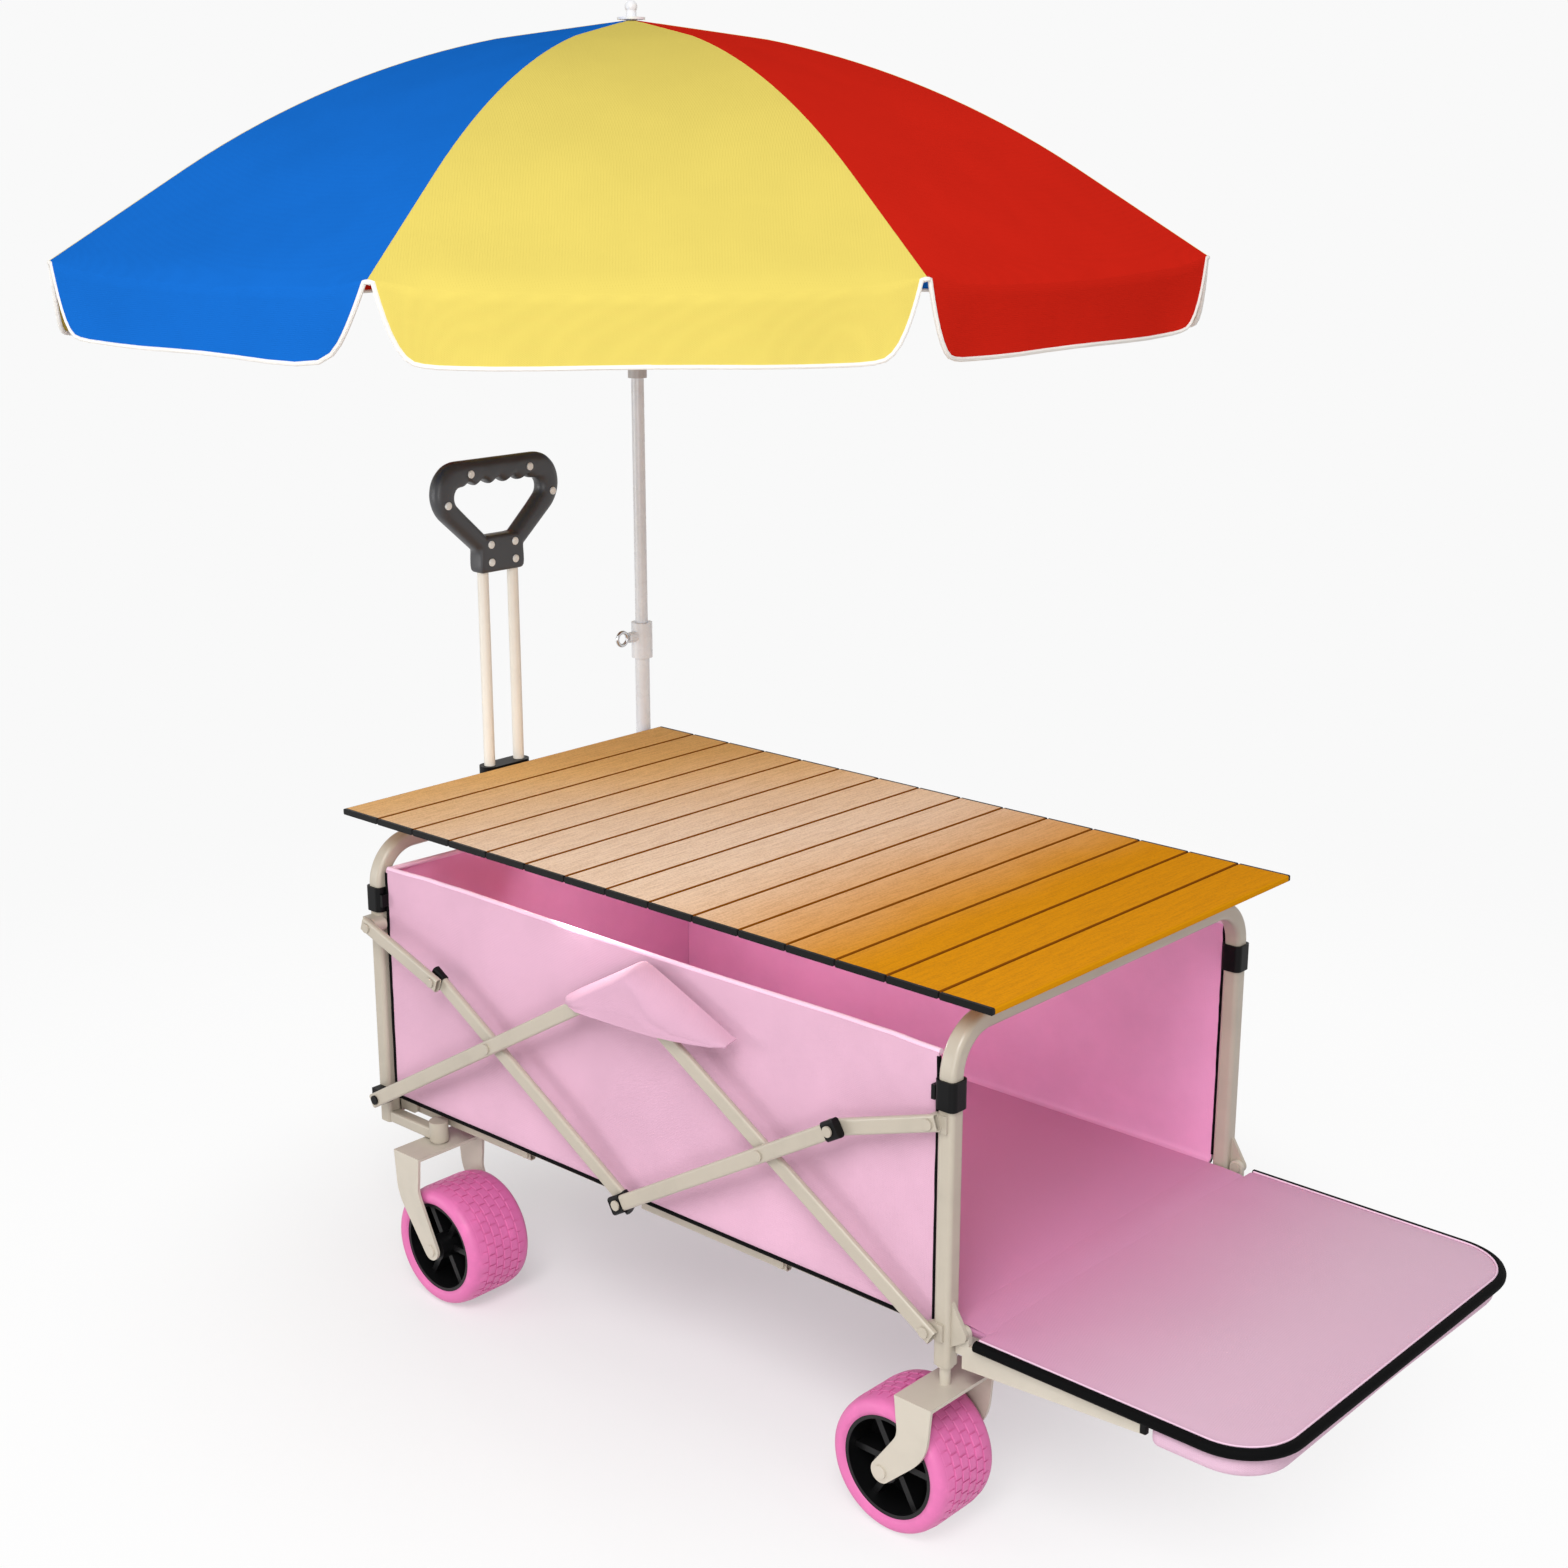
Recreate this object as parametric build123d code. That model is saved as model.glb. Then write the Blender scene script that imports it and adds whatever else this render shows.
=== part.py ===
from build123d import *
import math
import os

# Folding vending cart: a wagon with scissor sides, a tailgate, a slatted table top, a pull handle
# and an umbrella.
# Millimetres, Z up, origin on the floor under the middle of the wagon. +X is the tailgate end, called rear,
# -X is the handle end, called front, and -Y is the left side.

# Casters
WHEEL_R = 82.5
TYRE_W = 100.0
TYRE_EDGE = 16.0
GROOVE_W = 3.0
GROOVE_D = 2.0
GROOVE_Y = (-30.0, -10.0, 10.0, 30.0)
RIM_R = 63.5
RIM_T = 6.0
RIM_W = 92.0
BOSS_R = 17.0
SPOKES = 6
SPOKE_T = 8.0
SPOKE_W = 64.0
AXLE_R = 5.0
AXLE_PLAY = 0.08
TRAIL = 44.0            # from the stem to the axle
LEG_W = 52.0            # width of a fork's leg at its crown
LEG_TIP_W = 28.0        # and at the axle
LEG_T = 4.0
LEG_GAP = 4.0           # from the tyre's side to a leg
LEG_DROP = 55.0         # straight part of a leg below the crown
LEG_BEND = 45.0
CROWN_GAP = 18.0        # from a rear tyre's top to its fork's crown
CROWN_T = 4.0
STEM_R = 6.5
STEM_PLAY = 0.1
STEM_SHOWN = 25.0       # stem between a rear fork's crown and its post
STEM_TIP = 6.0          # stem kept below the top of its socket
SHOULDER_R = 10.0       # shoulder on the stem under the frame
SHOULDER_T = 2.2
BOLT_HEAD_R = 8.0
BOLT_HEAD_T = 2.5
SOCKET_R = 13.0
SOCKET_H = 28.0
ARM_W = 18.0
ARM_H = 16.0
STEM_SETBACK = 104.0    # from the front posts back to the front stems

# End frames
FOOT_Z = 2 * WHEEL_R + CROWN_GAP + CROWN_T + STEM_SHOWN     # lower end of the posts
POST_X = 490.0          # from the middle to the front and rear posts
POST_Y = 288.0          # from the middle to the left and right posts
TUBE = 22.0             # side of the square frame tube
TUBE_WALL = 1.5
TUBE_ROUND = 6.0
HOOP_Z = FOOT_Z + 397.5     # centre height of a hoop's top bar
HOOP_BEND = 55.0        # bend radius at the tube's centre
SILL_Z = FOOT_Z + 19.5      # centre height of the cross tube between two feet
PLUG_H = 30.0           # height of the plug in a post's foot

# Braces
FOOT_PIVOT_Z = FOOT_Z + 43.0    # pivots at the post feet and at the valley between the crossings
RIDGE_Z = FOOT_Z + 326.0        # pivot at the ridge in the middle of a side
PIVOT_SET = 13.0        # from a post's middle in to its pivots
LINK_SETBACK = 131.0    # from a post's pivots in to where a short link meets a brace
FOLDED_SPAN = 410.0     # distance from front to rear posts when folded
BAR_H = 20.0
BAR_T = 9.0
BAR_WALL = 1.4
BAR_ROUND = 3.5
BAR_OVER = 10.5         # bar past its end pivot
LAYER_GAP = 2.6         # between the inner and the outer layer of bars
CAP_WALL = 1.0
CAP_LENGTH = 21.0
PIN_R = 4.0
PIN_PLAY = 0.1
HEAD_R = 6.5
HEAD_T = 2.2
BRACKET_T = 4.0         # pivot bracket beside a post
FACE_PLAY = 0.4         # between flat faces that turn past each other
SLIDE_PLAY = 0.3        # between tubes that slide in each other

# Bottom rails
RAIL_Z = FOOT_Z + 24.0
RAIL_H = 18.0
RAIL_T = 10.0
RAIL_WALL = 1.3
RAIL_ROUND = 3.0
RAIL_OVER = 9.0
RAIL_SETBACK = 35.0     # from a post in to the rails' end pivots
RAIL_INSET = 26.0       # from the posts' plane in to the outer rail layer
RAIL_LAYER_GAP = 2.0
EAR_T = 4.0

# Post clips
CLIP_H = 34.0
CLIP_DROP = 0.5         # from a hoop's bend down to the clip
CLIP_Z = HOOP_Z - HOOP_BEND - CLIP_DROP - CLIP_H / 2
CLIP_WALL = 3.0
CLIP_PLAY = 0.1
CLIP_TAB = 5.0

# Fabric body
LINER_WALL = 5.0
LINER_GAP = 5.0         # from a post to the fabric
LINER_Z = FOOT_Z + 35.0     # underside
LINER_TOP = FOOT_Z + 369.0
LINER_FLOOR = 3.0
MAT_T = 5.7
MAT_EDGE = 4.0          # gap round the floor mat
MAT_OVER = 0.5          # floor mat past the rear posts
COVER_T = 2.0           # fabric over the ridge joint
COVER_APEX = (28.0, RIDGE_Z + 38.0)
COVER_START = -100.0    # left corner
COVER_RISE = 20.5       # that corner above the middle of the brace under it
COVER_RIGHT = (182.0, RIDGE_Z - 25.0)
COVER_LOW = ((160.0, RIDGE_Z - 38.0), (-60.0, RIDGE_Z - 54.0))
COVER_PLAY = 2.5

# Tailgate
HINGE_OUT = 11.5        # from a post's rear face to the tailgate's hinge
HINGE_Z = FOOT_Z + 44.0     # the tailgate's top face and hinge axis
GATE_GAP = 3.5          # from the posts' rear faces to the tailgate
GATE_LENGTH = 396.0
GATE_SIDE = 9.0         # tailgate past the posts' plane at each side
GATE_T = 12.0
GATE_CORNER = 75.0
GATE_NOTCH = (26.0, 26.0)
POUCH_T = 28.0
POUCH_GAP = 6.0         # from the arms' tips to the pouch
POUCH_SIDE = 14.0       # from the tailgate's sides in to the pouch
POUCH_INSET = 34.0
POUCH_CORNER = 45.0
EAR_PLATE = 5.0
EYE_R = 9.0
ARM_T = 6.0
ARM_LENGTH = 240.0
ARM_ROOT_H = 30.0
ARM_TIP_H = 14.0
ARM_TOP_GAP = 0.5

# Table top
SLATS = 15
TABLE_OVER = 58.5       # table past the posts, taken over both ends
TABLE_X = 5.0           # middle of the table
TABLE_SIDE = 0.4        # from the table's sides out to the inner braces' caps
SLAT_GAP = 1.5
SLAT_T = 8.0
SLAT_ROUND = 2.0
END_CAP_T = 4.0
UNDER_RAIL_Y = 190.0
UNDER_RAIL_W = 25.0
UNDER_RAIL_H = 25.2
UNDER_RAIL_WALL = 1.5
UNDER_RAIL_ROUND = 3.0
UNDER_RAIL_OVER = 13.0  # rails past the posts' middle
SEAT_GAP = 0.3
LIP_T = 8.0
LIP_H = 12.0
LIP_PLAY = 1.0
TABLE_Z = HOOP_Z + TUBE / 2 + SEAT_GAP + UNDER_RAIL_H + SLAT_T

# Pull handle
HANDLE_GAP = 1.5        # from the table's edge to the handle's collar
HANDLE_PIVOT_Z = FOOT_Z + 45.0
ROD_Y = 27.5            # from the middle to a rod
ROD_R = 8.0
ROD_WALL = 1.5
ROD_LOW = TABLE_Z - 59.0
SLEEVE_WALL = 1.7       # outer tube
SLEEVE_TOP = TABLE_Z - 11.0
BARREL_R = 11.0
BARREL_HALF = 38.5
HANDLE_PIN_R = 5.0
HANDLE_EAR_T = 4.0
HANDLE_EAR_R = 12.0
COLLAR_LOW = TABLE_Z - 27.0
COLLAR_TOP = TABLE_Z + 2.0
COLLAR_WALL = 5.0
GRIP_BASE = TABLE_Z + 283.0
GRIP_H = 160.0
GRIP_HALF = 117.0       # to the corner that is rounded off
GRIP_T = 28.0
GRIP_ROUND = 10.0
GRIP_BLOCK = 40.0       # half width of the grip's lower block
GRIP_SOCKET = 30.0
GRIP_BAR = 36.0
GRIP_SHOULDER = 63.0    # from the top down to the grip's widest corner
GRIP_RIM = 33.0         # from the widest corner in to the finger hole
FINGER_R = 13.0
FINGER_Y = (-40.0, -13.5, 13.5, 40.0)
SCREW_R = 5.5
SCREW_T = 2.2
TOP_SCREWS = ((54.0, 18.0), (96.0, 57.0))   # from the middle, and below the grip's top
LOW_SCREWS = ((22.0, 40.0), (22.0, 15.0))   # from the middle, and above the grip's base

# Umbrella
POLE_GAP = 0.5          # from the table's edge to the pole's clamp
POLE_INSET = 6.0        # from the posts' plane in to the pole
UPPER_POLE_R = 9.5
UPPER_POLE_WALL = 1.0
LOWER_POLE_WALL = 1.2
LOWER_POLE_LOW = FOOT_Z + 23.0
UPPER_POLE_LOW = FOOT_Z + 313.0
RING_WALL = 4.0
RING_H = 24.0
RING_ARM = 12.0
RING_PLAY = 0.1
UPPER_RING_Z = FOOT_Z + 253.0
CUP_FLOOR = 4.0
CUP_H = 44.0
CLAMP_LOW = TABLE_Z + 110.0
CLAMP_H = 54.0
CLAMP_SEAT = 20.0       # lower pole in the clamp
CLAMP_WALL = 5.0
CLAMP_BOSS_R = 8.0
CLAMP_BOSS_REACH = 28.0
CLAMP_SCREW_RISE = 34.0
CLAMP_SCREW_R = 3.0
EYE_LOOP_R = 10.0
EYE_LOOP_WIRE = 2.8
RIBS = 8
RIB_TURN = -20.5        # angle of the first rib from +X
RIB_R = 2.2
RIB_ROOT = (20.0, FOOT_Z + 1462.0)  # radius and height of a rib's pivot
RIB_KNEE = (390.0, RIB_ROOT[1] - 36.5)
RIB_TIP = (820.0, RIB_ROOT[1] - 304.0)
RIB_BEND = 1300.0
RIB_BALL = 4.0
RIB_EYE_R = 4.0
RIB_EYE_W = 4.0
RIB_PIN_R = 1.2
SLOT_PLAY = 0.4
CROWN_R = 24.0
CROWN_H = 14.0
CROWN_SLEEVE_H = 28.0
CROWN_SLEEVE_WALL = 3.5
FINIAL_STEM_R = 7.5
FINIAL_CAP_R = 20.0
FINIAL_CAP_T = 3.2
FINIAL_KNOB_R = 9.0
FINIAL_TOP = RIB_ROOT[1] + 38.0
RUNNER_TOP = RIB_ROOT[1] - 420.0
RUNNER_H = 69.0
RUNNER_WALL = 4.5
RUNNER_FLANGE_R = 27.0
RUNNER_FLANGE_H = 16.0
STRETCHER_ROOT = (22.0, RUNNER_TOP - 8.0)
STRETCHER_REACH = 330.0     # radius at which a stretcher meets its rib
STRETCHER_DROP = 4.2        # its eye below the rib there
STRETCHER_R = 2.0
STRETCHER_SIDE = 7.0    # stretchers lie beside their ribs
CANOPY_TOP = (30.0, RIB_ROOT[1] + 8.5)
CANOPY_LIFT = 3.6       # cloth above a rib's centre
CANOPY_T = 3.0
CANOPY_HOLE_R = 8.0
CANOPY_FOLDS = 8        # flats along the bend of a rib
VALANCE = 94.0
NOTCH_HALF = 24.0

# Values that follow
TYRE_TOP = 2 * WHEEL_R
FRONT_STEM_X = STEM_SETBACK - POST_X
REAR_STEM_X = POST_X
CROWN_Z = {"front": FOOT_Z - SEAT_GAP - SHOULDER_T - CROWN_T, "rear": TYRE_TOP + CROWN_GAP}
PIVOT_X = POST_X - PIVOT_SET
LINK_JOINT_X = PIVOT_X - LINK_SETBACK
BRACE = math.dist((PIVOT_X, FOOT_PIVOT_Z), (0.0, RIDGE_Z))
BRACE_ANGLE = math.atan2(RIDGE_Z - FOOT_PIVOT_Z, PIVOT_X)
FOLDED_ANGLE = math.acos((FOLDED_SPAN / 2 - PIVOT_SET) / BRACE)
REACH = LINK_JOINT_X / math.cos(BRACE_ANGLE)
LINK_JOINT_Z = FOOT_PIVOT_Z + REACH * math.sin(BRACE_ANGLE)
CROSSING = (PIVOT_X / 2, (FOOT_PIVOT_Z + RIDGE_Z) / 2)
COVER_LEFT = (COVER_START, RIDGE_Z + COVER_START * math.tan(BRACE_ANGLE) + COVER_RISE)
POST_FACE = POST_Y + TUBE / 2
REAR_FACE = POST_X + TUBE / 2
INNER_LAYER = POST_FACE + CLIP_WALL + 1.0
OUTER_LAYER = INNER_LAYER + BAR_T + LAYER_GAP
TABLE_HALF = INNER_LAYER - CAP_WALL - TABLE_SIDE
RAIL_END_X = POST_X - RAIL_SETBACK
RAIL_OUTER_Y = POST_Y - RAIL_INSET
RAIL_INNER_Y = RAIL_OUTER_Y - RAIL_LAYER_GAP - RAIL_T
BAR_SIZE = (BAR_H, BAR_T, BAR_WALL, BAR_ROUND, BAR_OVER)
RAIL_SIZE = (RAIL_H, RAIL_T, RAIL_WALL, RAIL_ROUND, RAIL_OVER)
LINER_Y = POST_Y
EAR_Y = POST_Y
HINGE_X = REAR_FACE + HINGE_OUT
GATE_EDGE_X = REAR_FACE + GATE_GAP
GATE_HALF = POST_Y + GATE_SIDE
POUCH_START = HINGE_X + ARM_LENGTH + POUCH_GAP
HOOP_TOP = HOOP_Z + TUBE / 2
SLAT_PITCH = 2 * (POST_X + TABLE_OVER) / SLATS
UNDER_RAIL_HALF = POST_X + UNDER_RAIL_OVER
TABLE_EDGE = TABLE_X - POST_X - TABLE_OVER
SLEEVE_R = ROD_R + SLIDE_PLAY + SLEEVE_WALL
COLLAR_RADIUS = SLEEVE_R + COLLAR_WALL
HANDLE_X = TABLE_EDGE - HANDLE_GAP - COLLAR_RADIUS
GRIP_TOP = GRIP_BASE + GRIP_H
POLE_Y = POST_Y - POLE_INSET
LOWER_POLE_R = UPPER_POLE_R + SLIDE_PLAY + LOWER_POLE_WALL
LOWER_POLE_TOP = CLAMP_LOW + CLAMP_SEAT
RING_R = LOWER_POLE_R + RING_WALL
CLAMP_R = LOWER_POLE_R + CLAMP_WALL
POLE_X = TABLE_EDGE - POLE_GAP - CLAMP_R
CLAMP_TOP = CLAMP_LOW + CLAMP_H
CLAMP_SCREW_Z = CLAMP_LOW + CLAMP_SCREW_RISE
CROWN_SLEEVE_R = UPPER_POLE_R + CROWN_SLEEVE_WALL
RUNNER_LOW = RUNNER_TOP - RUNNER_H
RUNNER_R = UPPER_POLE_R + RUNNER_WALL
RIB_ANGLES = [RIB_TURN + 360.0 / RIBS * i for i in range(RIBS)]
SIDES = {"left": -1, "right": 1}
BOTTOM = (Align.CENTER, Align.CENTER, Align.MIN)


def rib_height(radius):
    """Height of a bent rib's centre at a radius within its bend."""
    start = (RIB_ROOT[0] + RIB_EYE_R - 1, RIB_ROOT[1])
    first = math.atan2(RIB_KNEE[1] - start[1], RIB_KNEE[0] - start[0])
    second = math.atan2(RIB_TIP[1] - RIB_KNEE[1], RIB_TIP[0] - RIB_KNEE[0])
    tangent = RIB_BEND * math.tan((first - second) / 2)
    centre_r = RIB_KNEE[0] - tangent * math.cos(first) + RIB_BEND * math.sin(first)
    centre_z = RIB_KNEE[1] - tangent * math.sin(first) - RIB_BEND * math.cos(first)
    return centre_z + math.sqrt(RIB_BEND ** 2 - (radius - centre_r) ** 2)


STRETCHER_END = (STRETCHER_REACH, rib_height(STRETCHER_REACH) - STRETCHER_DROP)


def link_post_height():
    """Height of a link's post pivot at which the link is as long folded as it is open."""
    inner = BRACE - REACH
    open_dx = inner * math.cos(BRACE_ANGLE)
    folded_dx = inner * math.cos(FOLDED_ANGLE)
    folded_z = FOOT_PIVOT_Z + REACH * math.sin(FOLDED_ANGLE)
    rise = folded_z - LINK_JOINT_Z
    return (folded_z + LINK_JOINT_Z - (open_dx ** 2 - folded_dx ** 2) / rise) / 2


LINK_POST_Z = link_post_height()


def along_y(sketch, y_low, y_high):
    """Solid between two Y planes, from a sketch drawn in X and Z."""
    plane = Plane(origin=(0, y_high, 0), x_dir=(1, 0, 0), z_dir=(0, -1, 0))
    return extrude(plane * sketch, y_high - y_low, dir=(0, -1, 0))


def along_x(sketch, x_low, x_high):
    """Solid between two X planes, from a sketch drawn in Y and Z."""
    plane = Plane(origin=(x_low, 0, 0), x_dir=(0, 1, 0), z_dir=(1, 0, 0))
    return extrude(plane * sketch, x_high - x_low, dir=(1, 0, 0))


def block(low, high):
    size = [b - a for a, b in zip(low, high)]
    middle = [(a + b) / 2 for a, b in zip(low, high)]
    return Pos(*middle) * Box(*size)


def peg(x, z, radius, y_low, y_high):
    return along_y(Pos(x, z) * Circle(radius), y_low, y_high)


def sided(side, low, high):
    """Y range on one side of something that lies low to high from the middle plane."""
    return (low, high) if side > 0 else (-high, -low)


def upright(x, y, radius, z_low, z_high):
    return Pos(x, y, z_low) * Cylinder(radius, z_high - z_low, align=BOTTOM)


def ring_section(width, height, wall, corner):
    return RectangleRounded(width, height, corner) - RectangleRounded(
        width - 2 * wall, height - 2 * wall, corner - wall)


def eye_plate(x, z, radius, root_low, root_high):
    """Plate outline in X and Z from a root rectangle to a round eye."""
    corner_x, low_z = root_low
    far_x, high_z = root_high
    root = Pos((corner_x + far_x) / 2, (low_z + high_z) / 2) * Rectangle(far_x - corner_x, high_z - low_z)
    eye = Pos(x, z) * Circle(radius)
    return make_hull([*root.edges(), *eye.edges()])


def pivot_pin(end, z, side, bracket_from, layer, eye_r):
    """Bracket, pin and head that carry a bar of the given layer outside the posts."""
    x = end * PIVOT_X
    near, far = sorted((end * (POST_X - TUBE / 2), end * (POST_X + TUBE / 4)))
    seat = layer - FACE_PLAY
    face = layer + BAR_T + FACE_PLAY
    plate = eye_plate(x, z, eye_r, (near, z - BAR_H / 2), (far, z + BAR_H / 2))
    bracket = along_y(plate, *sided(side, bracket_from, seat))
    pin = peg(x, z, PIN_R, *sided(side, seat, face))
    head = peg(x, z, HEAD_R, *sided(side, face, face + HEAD_T))
    return bracket + pin + head


def rivet(x, z, side, low, high):
    """Rivet through bars that lie from low to high, with a head past each face."""
    low -= FACE_PLAY
    high += FACE_PLAY
    shank = peg(x, z, PIN_R, *sided(side, low, high))
    inner = peg(x, z, HEAD_R, *sided(side, low - HEAD_T, low))
    outer = peg(x, z, HEAD_R, *sided(side, high, high + HEAD_T))
    return shank + inner + outer


def stub_rivet(x, z, side, low, high):
    """Rivet in one bar, with a head on the outside only."""
    shank = peg(x, z, PIN_R, *sided(side, low, high + FACE_PLAY))
    head = peg(x, z, HEAD_R, *sided(side, high + FACE_PLAY, high + FACE_PLAY + HEAD_T))
    return shank + head


def bar(start, end, side, layer, size, holes):
    """Rectangular tube from pivot to pivot, with pin holes at distances along it."""
    height, thick, wall, corner, over = size
    length = math.dist(start, end)
    angle = math.degrees(math.atan2(end[1] - start[1], end[0] - start[0]))
    tube = along_x(ring_section(thick, height, wall, corner), -over, length + over)
    for distance in holes:
        tube -= Pos(distance, 0, 0) * Rot(90, 0, 0) * Cylinder(PIN_R + PIN_PLAY, thick + 2)
    middle = side * (layer + thick / 2)
    return Pos(start[0], middle, start[1]) * Rot(0, -angle, 0) * tube


def end_cap(pivot, towards, side, layer):
    """Plastic cap over a bar's end, round its end pivot."""
    angle = math.degrees(math.atan2(towards[1] - pivot[1], towards[0] - pivot[0]))
    start = -BAR_OVER - 2 * CAP_WALL
    shell = along_x(RectangleRounded(BAR_T + 2 * CAP_WALL, BAR_H + 4 * CAP_WALL, BAR_ROUND + CAP_WALL),
                    start, start + CAP_LENGTH)
    room = along_x(RectangleRounded(BAR_T + 2 * CLIP_PLAY, BAR_H + 2 * CLIP_PLAY, BAR_ROUND),
                   -BAR_OVER - CLIP_PLAY, start + CAP_LENGTH)
    hole = Rot(90, 0, 0) * Cylinder(PIN_R + PIN_PLAY, 2 * BAR_T)
    middle = side * (layer + BAR_T / 2)
    return Pos(pivot[0], middle, pivot[1]) * Rot(0, -angle, 0) * (shell - room - hole)


def end_frame(x):
    """Bent hoop with its sill."""
    corners = [(x, -POST_Y, FOOT_Z), (x, -POST_Y, HOOP_Z), (x, POST_Y, HOOP_Z), (x, POST_Y, FOOT_Z)]
    path = FilletPolyline(*corners, radius=HOOP_BEND)
    section = ring_section(TUBE, TUBE, TUBE_WALL, TUBE_ROUND)
    hoop = sweep(Plane(origin=path @ 0, z_dir=path % 0) * section, path=path)
    inner_face = POST_Y - TUBE / 2
    sill = along_y(Pos(x, SILL_Z) * section, -inner_face, inner_face)
    return hoop + sill


def foot_plug(x, y):
    inner = TUBE - 2 * TUBE_WALL
    return Pos(x, y, FOOT_Z) * extrude(RectangleRounded(inner, inner, TUBE_ROUND - TUBE_WALL), PLUG_H)


def rail_ear(end, side, layer):
    """Ear on a sill, with the pin of a bottom rail's end."""
    x = end * RAIL_END_X
    root_face = end * (POST_X - TUBE / 2)
    near, far = sorted((root_face, root_face + end * TUBE_WALL))
    plate = eye_plate(x, RAIL_Z, RAIL_H / 2, (near, RAIL_Z - RAIL_H / 2), (far, RAIL_Z + RAIL_H / 2))
    face = layer + RAIL_T + FACE_PLAY
    ear = along_y(plate, *sided(side, face, face + EAR_T))
    pin = peg(x, RAIL_Z, PIN_R, *sided(side, layer - FACE_PLAY, face))
    head = peg(x, RAIL_Z, HEAD_R, *sided(side, layer - FACE_PLAY - HEAD_T, layer - FACE_PLAY))
    return ear + pin + head


def caster_arm(side):
    """Arm from a front post's foot to the caster socket behind it."""
    y = side * POST_Y
    start = -POST_X + TUBE / 2
    section = Pos(y, FOOT_Z + ARM_H / 2) * RectangleRounded(ARM_W, ARM_H, UNDER_RAIL_ROUND)
    socket = upright(FRONT_STEM_X, y, SOCKET_R, FOOT_Z, FOOT_Z + SOCKET_H)
    return along_x(section, start, FRONT_STEM_X) + socket


def stem_bore(x, y):
    return upright(x, y, STEM_R + STEM_PLAY, FOOT_Z - 1, FOOT_Z + PLUG_H - CUP_FLOOR)


def pole_socket(z, height, floor):
    """Ring on the front right post that holds the umbrella's lower pole."""
    outer = upright(POLE_X, POLE_Y, RING_R, z, z + height)
    arm_y = POST_Y - TUBE / 2
    arm = block((POLE_X, arm_y - RING_ARM / 4, z), (-POST_X - TUBE / 2, arm_y + RING_ARM, z + height))
    bore = upright(POLE_X, POLE_Y, LOWER_POLE_R + RING_PLAY, z + floor, z + height + 1)
    return outer + arm - bore


def front_frame():
    frame = end_frame(-POST_X)
    for side in SIDES.values():
        frame += foot_plug(-POST_X, side * POST_Y)
        frame += caster_arm(side) - stem_bore(FRONT_STEM_X, side * POST_Y)
        frame += rail_ear(-1, side, RAIL_OUTER_Y)
        frame += pivot_pin(-1, LINK_POST_Z, side, POST_FACE - BRACKET_T, OUTER_LAYER, EYE_R)
        root = ((-POST_X - TUBE / 2, SILL_Z - TUBE / 2), (-POST_X - TUBE / 2 + TUBE_WALL, SILL_Z + TUBE / 2))
        ear = eye_plate(HANDLE_X, HANDLE_PIVOT_Z, HANDLE_EAR_R, *root)
        low = BARREL_HALF + FACE_PLAY
        frame += along_y(ear, *sided(side, low, low + HANDLE_EAR_T))
    pin_half = BARREL_HALF + FACE_PLAY + HANDLE_EAR_T
    frame += peg(HANDLE_X, HANDLE_PIVOT_Z, HANDLE_PIN_R, -pin_half, pin_half)
    frame += pole_socket(LOWER_POLE_LOW - CUP_FLOOR, CUP_H, CUP_FLOOR)
    frame += pole_socket(UPPER_RING_Z, RING_H, -1.0)
    return frame


def tailgate_ear(side):
    """Triangular ear behind a rear post, with the tailgate's hinge pin."""
    root = ((REAR_FACE - TUBE_WALL, HINGE_Z - 2 * EYE_R), (REAR_FACE, HINGE_Z + 4 * EYE_R))
    ear = along_y(eye_plate(HINGE_X, HINGE_Z, EYE_R, *root), *sided(side, EAR_Y, EAR_Y + EAR_PLATE))
    low = EAR_Y - ARM_T - 2 * FACE_PLAY
    pin = peg(HINGE_X, HINGE_Z, PIN_R, *sided(side, low, EAR_Y))
    head = peg(HINGE_X, HINGE_Z, HEAD_R, *sided(side, low - HEAD_T, low))
    return ear + pin + head


def rear_frame():
    frame = end_frame(POST_X)
    for side in SIDES.values():
        frame += foot_plug(POST_X, side * POST_Y) - stem_bore(REAR_STEM_X, side * POST_Y)
        frame += rail_ear(1, side, RAIL_INNER_Y)
        frame += pivot_pin(1, LINK_POST_Z, side, POST_FACE - BRACKET_T, INNER_LAYER, EYE_R)
        frame += pivot_pin(1, FOOT_PIVOT_Z, side, POST_FACE - BRACKET_T, INNER_LAYER, EYE_R)
        frame += tailgate_ear(side)
    return frame


def post_clip(end, side):
    """Plastic sleeve on a post, with a tab that holds the fabric's edge."""
    x = end * POST_X
    y = side * POST_Y
    outer = TUBE + 2 * CLIP_WALL
    inner = TUBE + 2 * CLIP_PLAY
    low = CLIP_Z - CLIP_H / 2
    section = RectangleRounded(outer, outer, TUBE_ROUND + CLIP_WALL / 2)
    section -= RectangleRounded(inner, inner, TUBE_ROUND)
    sleeve = Pos(x, y, low) * extrude(section, CLIP_H)
    face = POST_X - outer / 2
    near, far = sorted((end * (face + CLIP_PLAY), end * (face - CLIP_TAB)))
    tab_y = sided(side, LINER_Y + SEAT_GAP, POST_FACE)
    tab = block((near, tab_y[0], CLIP_Z - CLIP_H / 4), (far, tab_y[1], CLIP_Z + CLIP_H / 4))
    return sleeve + tab


def foot_knuckle(side):
    """Plastic block on a front post's foot that carries the outer brace."""
    return pivot_pin(-1, FOOT_PIVOT_Z, side, POST_FACE, OUTER_LAYER, BAR_H / 2)


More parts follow.
